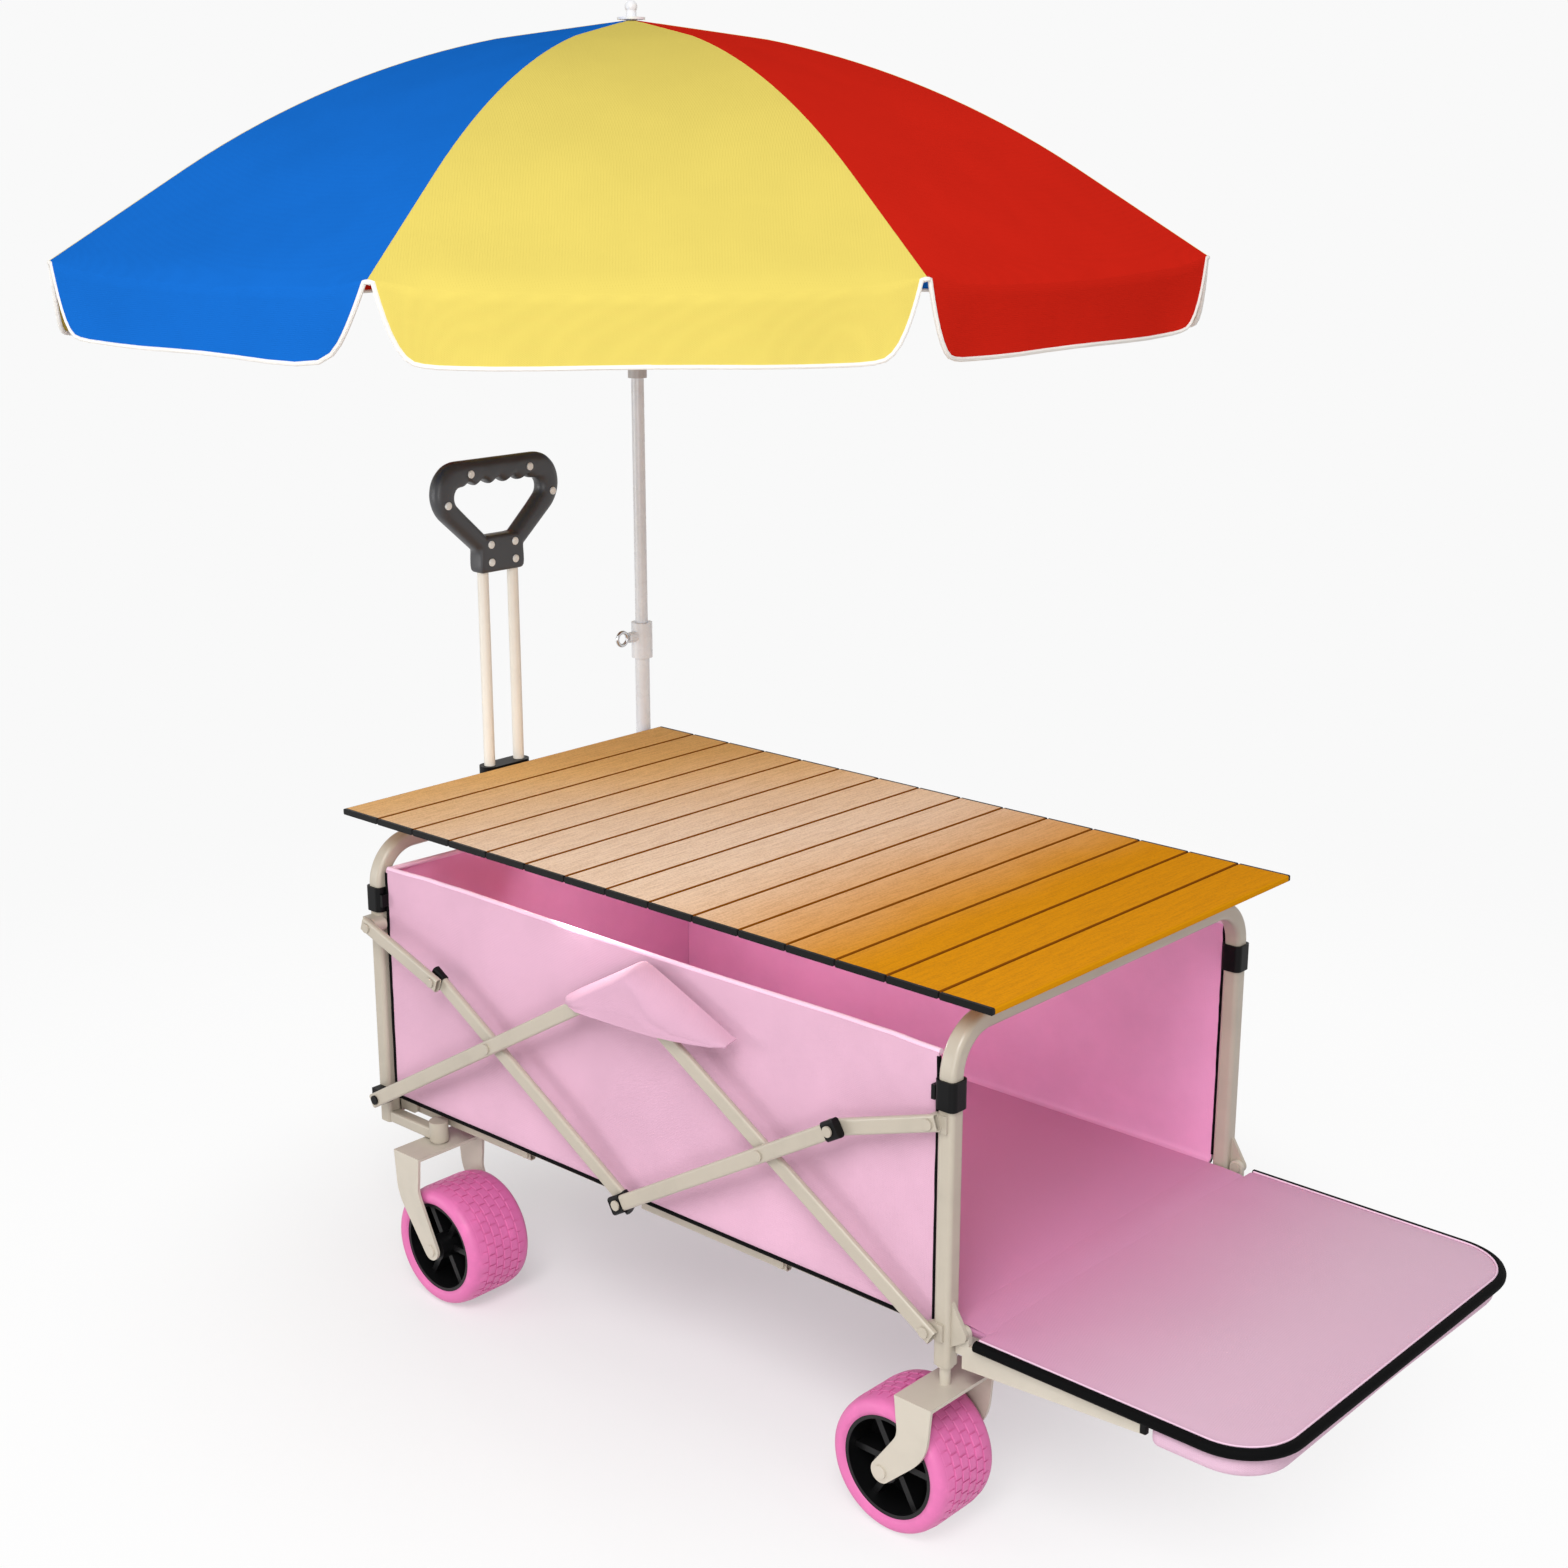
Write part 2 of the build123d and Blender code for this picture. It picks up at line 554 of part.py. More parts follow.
def braces():
    """The four bars of each side as lists of solids: front outer, front inner, rear inner, rear outer."""
    foot = (PIVOT_X, FOOT_PIVOT_Z)
    ridge = (0.0, RIDGE_Z)
    valley = (0.0, FOOT_PIVOT_Z)
    joint = (LINK_JOINT_X, LINK_JOINT_Z)
    half = BRACE / 2
    names = ("front_outer_braces", "front_inner_braces", "rear_inner_braces", "rear_outer_braces",
             "front_brace_caps", "rear_brace_caps", "front_links", "rear_links")
    nodes = {name: [] for name in names}
    for side in SIDES.values():
        front_foot = (-foot[0], foot[1])
        front_joint = (-joint[0], joint[1])
        outer_face = OUTER_LAYER + BAR_T
        nodes["front_outer_braces"] += [
            bar(front_foot, ridge, side, OUTER_LAYER, BAR_SIZE, (0, half, BRACE)),
            rivet(-CROSSING[0], CROSSING[1], side, INNER_LAYER, outer_face),
            rivet(*ridge, side, INNER_LAYER, outer_face)]
        nodes["front_inner_braces"] += [
            bar(valley, front_joint, side, INNER_LAYER, BAR_SIZE, (0, half, REACH)),
            rivet(*valley, side, INNER_LAYER - CAP_WALL, outer_face + CAP_WALL)]
        nodes["rear_inner_braces"] += [
            bar(foot, ridge, side, INNER_LAYER, BAR_SIZE, (0, half, BRACE)),
            rivet(*CROSSING, side, INNER_LAYER, outer_face)]
        nodes["rear_outer_braces"] += [bar(valley, joint, side, OUTER_LAYER, BAR_SIZE, (0, half, REACH)),
                                       stub_rivet(*joint, side, OUTER_LAYER, outer_face + CAP_WALL)]
        nodes["front_brace_caps"] += [end_cap(front_joint, valley, side, INNER_LAYER),
                                      end_cap(valley, front_joint, side, INNER_LAYER)]
        nodes["rear_brace_caps"] += [end_cap(joint, valley, side, OUTER_LAYER),
                                     end_cap(valley, joint, side, OUTER_LAYER)]
        link_length = math.dist((PIVOT_X, LINK_POST_Z), joint)
        nodes["front_links"] += [
            bar((-PIVOT_X, LINK_POST_Z), front_joint, side, OUTER_LAYER, BAR_SIZE, (0, link_length)),
            stub_rivet(*front_joint, side, OUTER_LAYER, outer_face)]
        nodes["rear_links"] += [bar((PIVOT_X, LINK_POST_Z), joint, side, INNER_LAYER, BAR_SIZE, (0,))]
    return nodes


def bottom_rails():
    """Four hinged lengths a side, alternating between two layers."""
    length = RAIL_END_X / 2
    nodes = {"front_rail_outer": [], "front_rail_inner": [], "rear_rail_inner": [], "rear_rail_outer": []}
    through = (RAIL_INNER_Y, RAIL_OUTER_Y + RAIL_T)
    for side in SIDES.values():
        nodes["front_rail_outer"] += [
            bar((-RAIL_END_X, RAIL_Z), (-length, RAIL_Z), side, RAIL_OUTER_Y, RAIL_SIZE, (0, length)),
            rivet(-length, RAIL_Z, side, *through)]
        nodes["front_rail_inner"] += [
            bar((-length, RAIL_Z), (0, RAIL_Z), side, RAIL_INNER_Y, RAIL_SIZE, (0,))]
        nodes["rear_rail_inner"] += [
            bar((length, RAIL_Z), (0, RAIL_Z), side, RAIL_OUTER_Y, RAIL_SIZE, (0,))]
        nodes["rear_rail_outer"] += [
            bar((RAIL_END_X, RAIL_Z), (length, RAIL_Z), side, RAIL_INNER_Y, RAIL_SIZE, (0, length)),
            rivet(length, RAIL_Z, side, *through)]
    return nodes


def liner():
    """Fabric trough, open at the top and at the rear end."""
    end = POST_X - TUBE / 2 - LINER_GAP
    outer = block((-end, -LINER_Y, LINER_Z), (end, LINER_Y, LINER_TOP))
    inner_y = LINER_Y - LINER_WALL
    room = block((-end + LINER_WALL, -inner_y, LINER_Z + LINER_FLOOR), (end + 1, inner_y, LINER_TOP + 1))
    return outer - room


def floor_mat():
    start = -(POST_X - TUBE / 2 - LINER_GAP) + LINER_WALL + MAT_EDGE
    half = POST_Y - TUBE / 2 - MAT_EDGE
    low = LINER_Z + LINER_FLOOR + SEAT_GAP
    return block((start, -half, low), (REAR_FACE + MAT_OVER, half, low + MAT_T))


def brace_cover(side):
    """Fabric awning sewn to the body over the ridge joint."""
    outline = Polygon(COVER_APEX, COVER_RIGHT, *COVER_LOW, COVER_LEFT, align=None)
    front = OUTER_LAYER + BAR_T + FACE_PLAY + HEAD_T + COVER_PLAY
    back = LINER_Y + SEAT_GAP
    shell = along_y(outline, *sided(side, back, front + COVER_T))
    room = Pos(0, 0, -COVER_T * 1.4) * along_y(outline, *sided(side, back - 1, front))
    return shell - room


def tailgate_panel():
    """Board with rounded outer corners and a padded underside, notched for the hinge ears."""
    far = GATE_EDGE_X + GATE_LENGTH
    corners = [(GATE_EDGE_X, -GATE_HALF), (far, -GATE_HALF), (far, GATE_HALF), (GATE_EDGE_X, GATE_HALF)]
    outline = FilletPolyline(*corners, radius=GATE_CORNER)
    board = extrude(make_face(outline + Line(outline @ 1, outline @ 0)), GATE_T)
    board = Pos(0, 0, HINGE_Z - GATE_T) * board
    pouch_x = far - POUCH_INSET
    centre = (POUCH_START + pouch_x) / 2
    pouch_width = 2 * (GATE_HALF - POUCH_SIDE)
    pad = extrude(RectangleRounded(pouch_x - POUCH_START, pouch_width, POUCH_CORNER), POUCH_T)
    board += Pos(centre, 0, HINGE_Z - GATE_T - POUCH_T) * pad
    for side in SIDES.values():
        y_low, y_high = sided(side, GATE_HALF - GATE_NOTCH[1], GATE_HALF + 1)
        notch_end = GATE_EDGE_X + GATE_NOTCH[0]
        board -= block((GATE_EDGE_X - 1, y_low, HINGE_Z - GATE_T - 1), (notch_end, y_high, HINGE_Z + 1))
    return board


def tailgate_arm(side):
    """Tapered plate under the tailgate's edge, turning on the ear's pin."""
    under = HINGE_Z - GATE_T - ARM_TOP_GAP
    tip = HINGE_X + ARM_LENGTH
    root = under - ARM_ROOT_H
    plate = Polygon((HINGE_X, under), (HINGE_X, root), (tip, under - ARM_TIP_H), (tip, under), align=None)
    eye = eye_plate(HINGE_X, HINGE_Z, EYE_R, (HINGE_X - EYE_R, under - ARM_TIP_H), (HINGE_X + EYE_R, under))
    outline = plate + eye - Pos(HINGE_X, HINGE_Z) * Circle(PIN_R + PIN_PLAY)
    low = EAR_Y - ARM_T - FACE_PLAY
    return along_y(outline, *sided(side, low, low + ARM_T))


def tyre():
    body = fillet(Cylinder(WHEEL_R, TYRE_W).edges().filter_by(GeomType.CIRCLE), TYRE_EDGE)
    body -= Cylinder(RIM_R, TYRE_W + 2)
    for place in GROOVE_Y:
        groove = Cylinder(WHEEL_R + 1, GROOVE_W) - Cylinder(WHEEL_R - GROOVE_D, GROOVE_W)
        body -= Pos(0, 0, place) * groove
    return Rot(90, 0, 0) * body


def hub():
    inner = RIM_R - RIM_T
    body = Cylinder(RIM_R, RIM_W) - Cylinder(inner, RIM_W + 2)
    body += Cylinder(inner + 1, SPOKE_T)
    for i in range(SPOKES):
        spoke = Pos((inner + 1) / 2, 0, 0) * Box(inner + 1, SPOKE_T, SPOKE_W)
        body += Rot(0, 0, 360.0 / SPOKES * i) * spoke
    body += Cylinder(BOSS_R, TYRE_W)
    body -= Cylinder(AXLE_R + AXLE_PLAY, TYRE_W + 2)
    return Rot(90, 0, 0) * body


def fork_leg(axle_x, top):
    """Outline in X and Z of a leg that bends and narrows from the crown to the axle."""
    path = FilletPolyline((0, top), (0, top - LEG_DROP), (axle_x, WHEEL_R), radius=LEG_BEND)
    edges = {-1: [], 1: []}
    steps = 8
    for i in range(steps + 1):
        point = path @ (i / steps)
        along = path % (i / steps)
        half = (LEG_W + (LEG_TIP_W - LEG_W) * i / steps) / 2
        for side in edges:
            edges[side].append((point.X - side * half * along.Y, point.Y + side * half * along.X))
    end = path @ 1 + (path % 1) * LEG_TIP_W / 2
    first, last = edges[1], edges[-1]
    tip = ThreePointArc(first[-1], (end.X, end.Y), last[-1])
    return make_face([Spline(*first), tip, Spline(*reversed(last)), Line(last[0], first[0])])


def fork(direction, crown_z):
    """Caster fork with its stem over the origin, trailing along X, and its axle bolt."""
    axle_x = direction * TRAIL
    low = TYRE_W / 2 + LEG_GAP
    high = low + LEG_T
    top = crown_z + CROWN_T
    body = block((-LEG_W / 2, -high, crown_z), (LEG_W / 2, high, top))
    leg = fork_leg(axle_x, top)
    for side in SIDES.values():
        body += along_y(leg, *sided(side, low, high))
    seat = FOOT_Z - SEAT_GAP
    body += upright(0, 0, SHOULDER_R, seat - SHOULDER_T, seat)
    body += upright(0, 0, STEM_R, top, FOOT_Z + PLUG_H - CUP_FLOOR - STEM_TIP)
    body -= peg(axle_x, WHEEL_R, AXLE_R, -high - 1, high + 1)
    bolt = peg(axle_x, WHEEL_R, AXLE_R, -high, high)
    for side in SIDES.values():
        bolt += peg(axle_x, WHEEL_R, BOLT_HEAD_R, *sided(side, high, high + BOLT_HEAD_T))
    return body, bolt


def casters():
    nodes = {}
    for end, stem_x, direction in (("front", FRONT_STEM_X, 1), ("rear", REAR_STEM_X, -1)):
        for name, side in SIDES.items():
            place = Pos(stem_x, side * POST_Y, 0)
            axle = Pos(stem_x + direction * TRAIL, side * POST_Y, WHEEL_R)
            nodes[f"caster_fork_{end}_{name}"] = [place * solid for solid in fork(direction, CROWN_Z[end])]
            nodes[f"wheel_hub_{end}_{name}"] = [axle * hub()]
            nodes[f"tyre_{end}_{name}"] = [axle * tyre()]
    return nodes


def tube(x, y, radius, wall, z_low, z_high):
    return upright(x, y, radius, z_low, z_high) - upright(x, y, radius - wall, z_low - 1, z_high + 1)


def handle_tubes():
    """Two outer tubes on a pivot barrel."""
    body = peg(HANDLE_X, HANDLE_PIVOT_Z, BARREL_R, -BARREL_HALF, BARREL_HALF)
    for side in SIDES.values():
        foot = HANDLE_PIVOT_Z + BARREL_R / 2
        body += tube(HANDLE_X, side * ROD_Y, SLEEVE_R, SLEEVE_WALL, foot, SLEEVE_TOP)
    return body - peg(HANDLE_X, HANDLE_PIVOT_Z, HANDLE_PIN_R + PIN_PLAY, -BARREL_HALF - 1, BARREL_HALF + 1)


def handle_collar():
    outline = SlotCenterToCenter(2 * ROD_Y, 2 * COLLAR_RADIUS, rotation=90)
    body = Pos(HANDLE_X, 0, COLLAR_LOW) * extrude(outline, COLLAR_TOP - COLLAR_LOW)
    for side in SIDES.values():
        y = side * ROD_Y
        body -= upright(HANDLE_X, y, ROD_R + SLIDE_PLAY, COLLAR_LOW - 1, COLLAR_TOP + 1)
        body -= upright(HANDLE_X, y, SLEEVE_R + CLIP_PLAY, COLLAR_LOW - 1, SLEEVE_TOP + CLIP_PLAY)
    return body


def handle_rods():
    return [tube(HANDLE_X, side * ROD_Y, ROD_R, ROD_WALL, ROD_LOW, GRIP_BASE + GRIP_SOCKET)
            for side in SIDES.values()]


def grip_outline():
    """Rounded triangular grip drawn in Y and Z, with a finger hole."""
    shoulder_z = GRIP_TOP - GRIP_SHOULDER
    corner_y = GRIP_HALF - 11.0
    neck_z = GRIP_BASE + GRIP_SOCKET
    right = [(corner_y, GRIP_TOP), (GRIP_HALF, shoulder_z), (GRIP_BLOCK, neck_z), (GRIP_BLOCK, GRIP_BASE)]
    left = [(-y, z) for y, z in reversed(right)]
    outer = make_face(FilletPolyline(*right, *left, radius=[42, 48, 12, 6, 6, 12, 48, 42], close=True))
    hole_top = GRIP_TOP - GRIP_BAR
    wide = GRIP_HALF - GRIP_RIM
    hole_right = [(wide - 12.0, hole_top), (wide, hole_top - 16.0), (24.0, GRIP_BASE + 52.0)]
    hole_left = [(-y, z) for y, z in reversed(hole_right)]
    hole = make_face(FilletPolyline(*hole_right, *hole_left, radius=[8, 14, 10, 10, 14, 8], close=True))
    for y in FINGER_Y:
        hole += Pos(y, hole_top - FINGER_R / 2) * Circle(FINGER_R)
    return outer - hole


def handle_grip():
    """Two half shells that meet in the rods' plane."""
    outline = grip_outline()
    halves = []
    for side in SIDES.values():
        half = along_x(outline, *sorted((HANDLE_X, HANDLE_X + side * GRIP_T / 2)))
        face = half.faces().sort_by(Axis.X)[-1 if side > 0 else 0]
        half = fillet(face.outer_wire().edges(), GRIP_ROUND)
        for rod in SIDES.values():
            half -= upright(HANDLE_X, rod * ROD_Y, ROD_R + CLIP_PLAY, GRIP_BASE - 1, GRIP_BASE + GRIP_SOCKET)
        halves.append(half)
    return halves


def grip_screws():
    face = HANDLE_X + GRIP_T / 2
    spots = [(y, GRIP_TOP - z) for y, z in TOP_SCREWS] + [(y, GRIP_BASE + z) for y, z in LOW_SCREWS]
    return [along_x(Pos(side * y, z) * Circle(SCREW_R), face, face + SCREW_T)
            for side in SIDES.values() for y, z in spots]


def slat_x(index):
    return TABLE_X + (index - (SLATS - 1) / 2) * SLAT_PITCH


def table_slats():
    width = SLAT_PITCH - SLAT_GAP
    section = RectangleRounded(width, SLAT_T, SLAT_ROUND)
    half = TABLE_HALF - END_CAP_T
    return [along_y(Pos(slat_x(i), TABLE_Z - SLAT_T / 2) * section, -half, half) for i in range(SLATS)]


def slat_end_caps():
    section = RectangleRounded(SLAT_PITCH - SLAT_GAP, SLAT_T, SLAT_ROUND)
    caps = []
    for side in SIDES.values():
        for i in range(SLATS):
            place = Pos(slat_x(i), TABLE_Z - SLAT_T / 2)
            caps.append(along_y(place * section, *sided(side, TABLE_HALF - END_CAP_T, TABLE_HALF)))
    return caps


def table_rails():
    """Rails under the slats, with lips that hook over the front hoop."""
    low = HOOP_TOP + SEAT_GAP
    rails = []
    for side in SIDES.values():
        y = side * UNDER_RAIL_Y
        section = ring_section(UNDER_RAIL_W, UNDER_RAIL_H, UNDER_RAIL_WALL, UNDER_RAIL_ROUND)
        section = Pos(y, low + UNDER_RAIL_H / 2) * section
        rail = along_x(section, -UNDER_RAIL_HALF - LIP_T - LIP_PLAY, UNDER_RAIL_HALF)
        for towards in (-1, 1):
            near = -POST_X + towards * (TUBE / 2 + LIP_PLAY)
            x_low, x_high = sorted((near, near + towards * LIP_T))
            half = UNDER_RAIL_W / 4
            rail += block((x_low, y - half, low - LIP_H), (x_high, y + half, low + UNDER_RAIL_WALL))
        rails.append(rail)
    return rails


def pole_clamp():
    """Sleeve at the top of the lower pole with a screw boss towards the left."""
    body = upright(POLE_X, POLE_Y, CLAMP_R, CLAMP_LOW, CLAMP_TOP)
    boss = Rot(90, 0, 0) * Cylinder(CLAMP_BOSS_R, CLAMP_BOSS_REACH, align=BOTTOM)
    body += Pos(POLE_X, POLE_Y, CLAMP_SCREW_Z) * boss
    body -= upright(POLE_X, POLE_Y, LOWER_POLE_R + RING_PLAY, CLAMP_LOW - 1, LOWER_POLE_TOP + RING_PLAY)
    body -= upright(POLE_X, POLE_Y, UPPER_POLE_R + SLIDE_PLAY, CLAMP_LOW, CLAMP_TOP + 1)
    bore = Rot(90, 0, 0) * Cylinder(CLAMP_SCREW_R + PIN_PLAY, CLAMP_BOSS_REACH + 1, align=BOTTOM)
    return body - Pos(POLE_X, POLE_Y, CLAMP_SCREW_Z) * bore


def clamp_screw():
    """Screw with an eye loop for a head."""
    tip = UPPER_POLE_R + SLIDE_PLAY
    reach = CLAMP_BOSS_REACH + FACE_PLAY
    shank = Rot(90, 0, 0) * Cylinder(CLAMP_SCREW_R, reach - tip + EYE_LOOP_WIRE, align=BOTTOM)
    loop = Rot(0, 90, 0) * Torus(EYE_LOOP_R, EYE_LOOP_WIRE)
    body = Pos(0, -tip, 0) * shank + Pos(0, -reach - EYE_LOOP_R - EYE_LOOP_WIRE, 0) * loop
    return Pos(POLE_X, POLE_Y, CLAMP_SCREW_Z) * body


def round_the_pole(solid, angle):
    return Pos(POLE_X, POLE_Y, 0) * Rot(0, 0, angle) * solid


def hinge_slot(radius, z, side, reach, height):
    """Slot for a rod's eye in a ring, drawn for the direction of +X."""
    half = RIB_EYE_W / 2 + SLOT_PLAY
    start = radius - RIB_EYE_R - 2 * SLOT_PLAY
    return block((start, side - half, z - height), (radius + reach, side + half, z + height))


def hinge_wire(radius, z, side):
    half = RIB_EYE_W / 2 + 2 * SLOT_PLAY
    return peg(radius, z, RIB_PIN_R, side - half, side + half)


def rod_eye(radius, z, side):
    half = RIB_EYE_W / 2
    return peg(radius, z, RIB_EYE_R, side - half, side + half) - peg(
        radius, z, RIB_PIN_R + PIN_PLAY, side - half - 1, side + half + 1)


def crown():
    """Top notch that carries the ribs, and the finial over the canopy."""
    radius, z = RIB_ROOT
    low = z - CROWN_H / 2
    body = upright(0, 0, CROWN_R, low, low + CROWN_H)
    body += upright(0, 0, CROWN_SLEEVE_R, low - CROWN_SLEEVE_H, low)
    body -= upright(0, 0, UPPER_POLE_R + RING_PLAY, low - CROWN_SLEEVE_H - 1, low)
    for angle in RIB_ANGLES:
        body -= Rot(0, 0, angle) * hinge_slot(radius, z, 0, CROWN_R, CROWN_H)
    for angle in RIB_ANGLES:
        body += Rot(0, 0, angle) * hinge_wire(radius, z, 0)
    cap_low = CANOPY_TOP[1] + CANOPY_T + SEAT_GAP
    body += upright(0, 0, FINIAL_STEM_R, low + CROWN_H, FINIAL_TOP - FINIAL_KNOB_R)
    body += upright(0, 0, FINIAL_CAP_R, cap_low, cap_low + FINIAL_CAP_T)
    body += Pos(0, 0, FINIAL_TOP - FINIAL_KNOB_R) * Sphere(FINIAL_KNOB_R)
    return Pos(POLE_X, POLE_Y, 0) * body


def runner():
    """Sleeve on the upper pole that carries the stretchers."""
    radius, z = STRETCHER_ROOT
    body = upright(0, 0, RUNNER_R, RUNNER_LOW, RUNNER_TOP)
    body += upright(0, 0, RUNNER_FLANGE_R, RUNNER_TOP - RUNNER_FLANGE_H, RUNNER_TOP)
    for angle in RIB_ANGLES:
        body -= Rot(0, 0, angle) * hinge_slot(radius, z, STRETCHER_SIDE, RUNNER_FLANGE_R, RUNNER_FLANGE_H)
    for angle in RIB_ANGLES:
        body += Rot(0, 0, angle) * hinge_wire(radius, z, STRETCHER_SIDE)
    body -= upright(0, 0, UPPER_POLE_R + SLIDE_PLAY, RUNNER_LOW - 1, RUNNER_TOP + 1)
    return Pos(POLE_X, POLE_Y, 0) * body


def rib_path():
    start = (RIB_ROOT[0] + RIB_EYE_R - 1, 0, RIB_ROOT[1])
    return FilletPolyline(start, (RIB_KNEE[0], 0, RIB_KNEE[1]), (RIB_TIP[0], 0, RIB_TIP[1]), radius=RIB_BEND)


def rib():
    path = rib_path()
    rod = sweep(Plane(origin=path @ 0, z_dir=path % 0) * Circle(RIB_R), path=path)
    rod += Pos(RIB_TIP[0], 0, RIB_TIP[1]) * Sphere(RIB_BALL)
    return rod + rod_eye(*RIB_ROOT, 0)


def stretcher():
    rise = math.atan2(STRETCHER_END[1] - STRETCHER_ROOT[1], STRETCHER_END[0] - STRETCHER_ROOT[0])
    gap = RIB_EYE_R - 1
    start_r = STRETCHER_ROOT[0] + gap * math.cos(rise)
    start = (start_r, STRETCHER_SIDE, STRETCHER_ROOT[1] + gap * math.sin(rise))
    path = Line(start, (STRETCHER_END[0], STRETCHER_SIDE, STRETCHER_END[1]))
    rod = sweep(Plane(origin=path @ 0, z_dir=path % 0) * Circle(STRETCHER_R), path=path)
    eye = peg(*STRETCHER_END, RIB_EYE_R, STRETCHER_SIDE - RIB_EYE_W / 2, STRETCHER_SIDE + RIB_EYE_W / 2)
    return rod + eye + rod_eye(*STRETCHER_ROOT, STRETCHER_SIDE)


def rib_polygon(radius, z):
    corners = [(radius * math.cos(math.radians(a)), radius * math.sin(math.radians(a))) for a in RIB_ANGLES]
    return Pos(0, 0, z) * Polygon(*corners, align=None)


def canopy():
    """Cloth in a panel between each two ribs, with a valance that is notched at each rib."""
    bend = rib_path().edges().sort_by(Axis.X)[1]
    bend_points = [bend @ (i / CANOPY_FOLDS) for i in range(CANOPY_FOLDS + 1)]
    profile = [CANOPY_TOP] + [(p.X, p.Z + CANOPY_LIFT) for p in sorted(bend_points, key=lambda p: p.X)]
    rim = (RIB_TIP[0] + 1.3 * RIB_BALL + CANOPY_T, RIB_TIP[1] + CANOPY_LIFT)
    low = RIB_TIP[1] - VALANCE
    outer = loft([rib_polygon(r, z + CANOPY_T) for r, z in profile + [rim]] + [rib_polygon(rim[0], low)], ruled=True)
    inner_rim = rim[0] - CANOPY_T
    inner_profile = profile + [(inner_rim, rim[1]), (inner_rim, low - 1)]
    inner = loft([rib_polygon(r, z) for r, z in inner_profile], ruled=True)
    cloth = outer - inner - upright(0, 0, CANOPY_HOLE_R, CANOPY_TOP[1] - 1, CANOPY_TOP[1] + CANOPY_T + 1)
    notch = Polygon((-NOTCH_HALF, low - 1), (NOTCH_HALF, low - 1), (RIB_BALL, RIB_TIP[1] - RIB_BALL - 1),
                    (-RIB_BALL, RIB_TIP[1] - RIB_BALL - 1), align=None)
    for angle in RIB_ANGLES:
        cloth -= Rot(0, 0, angle) * along_x(notch, rim[0] - NOTCH_HALF, rim[0] + NOTCH_HALF)
    return Pos(POLE_X, POLE_Y, 0) * cloth


def umbrella():
    low = RIB_ROOT[1] - CROWN_H / 2
    nodes = {
        "umbrella_lower_pole": [tube(POLE_X, POLE_Y, LOWER_POLE_R, LOWER_POLE_WALL, LOWER_POLE_LOW,
                                    LOWER_POLE_TOP), pole_clamp()],
        "umbrella_upper_pole": [tube(POLE_X, POLE_Y, UPPER_POLE_R, UPPER_POLE_WALL, UPPER_POLE_LOW, low),
                                crown()],
        "umbrella_runner": [runner()],
        "clamp_screw": [clamp_screw()],
        "umbrella_canopy": [canopy()],
    }
    for number, angle in enumerate(RIB_ANGLES, start=1):
        nodes[f"umbrella_rib_{number}"] = [round_the_pole(rib(), angle)]
        nodes[f"umbrella_stretcher_{number}"] = [round_the_pole(stretcher(), angle)]
    return nodes


def all_nodes():
    sides = SIDES.values()
    nodes = {
        "front_frame": [front_frame()],
        "rear_frame": [rear_frame()],
        "front_post_fittings": [*(post_clip(-1, s) for s in sides), *(foot_knuckle(s) for s in sides)],
        "rear_post_clips": [post_clip(1, s) for s in sides],
        "liner": [liner(), floor_mat()],
        "brace_covers": [brace_cover(s) for s in sides],
        "tailgate_panel": [tailgate_panel()],
        "tailgate_arms": [tailgate_arm(s) for s in sides],
        "handle_tubes": [handle_tubes()],
        "handle_collar": [handle_collar()],
        "handle_rods": handle_rods(),
        "handle_grip": [*handle_grip(), *grip_screws()],
        "table_slats": table_slats(),
        "slat_end_caps": slat_end_caps(),
        "table_rails": table_rails(),
    }
    for group in (braces(), bottom_rails(), casters(), umbrella()):
        nodes.update(group)
    return nodes


def main():
    os.makedirs("parts", exist_ok=True)
    for name, shapes in all_nodes().items():
        solids = [solid for shape in shapes for solid in shape.solids()]
        export_step(solids[0] if len(solids) == 1 else Compound(solids), f"parts/{name}.step")


if __name__ == "__main__":
    main()
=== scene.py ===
import bpy
import math
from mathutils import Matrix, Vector, noise


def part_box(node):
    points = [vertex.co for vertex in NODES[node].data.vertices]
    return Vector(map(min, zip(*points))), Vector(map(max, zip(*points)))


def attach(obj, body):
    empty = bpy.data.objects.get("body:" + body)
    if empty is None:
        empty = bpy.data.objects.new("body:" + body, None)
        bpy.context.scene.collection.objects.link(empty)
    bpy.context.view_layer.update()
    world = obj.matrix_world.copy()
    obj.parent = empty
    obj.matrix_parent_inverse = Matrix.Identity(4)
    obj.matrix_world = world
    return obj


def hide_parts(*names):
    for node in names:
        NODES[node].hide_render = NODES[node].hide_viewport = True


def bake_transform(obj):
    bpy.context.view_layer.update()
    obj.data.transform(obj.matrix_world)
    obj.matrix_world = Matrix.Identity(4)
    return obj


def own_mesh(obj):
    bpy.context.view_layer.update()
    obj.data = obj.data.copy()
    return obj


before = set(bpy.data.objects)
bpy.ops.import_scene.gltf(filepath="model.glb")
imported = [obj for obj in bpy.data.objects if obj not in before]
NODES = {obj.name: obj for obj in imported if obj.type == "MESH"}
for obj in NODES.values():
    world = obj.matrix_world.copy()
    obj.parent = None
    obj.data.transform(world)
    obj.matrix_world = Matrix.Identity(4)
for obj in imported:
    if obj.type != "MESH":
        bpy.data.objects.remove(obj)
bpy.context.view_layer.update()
scene = bpy.context.scene
scene.view_settings.view_transform = "Standard"


def srgb(r, g, b):
    """Linear colour from 0-255 display values."""
    def one(v):
        v /= 255.0
        return v / 12.92 if v <= 0.04045 else ((v + 0.055) / 1.055) ** 2.4
    return (one(r), one(g), one(b), 1.0)


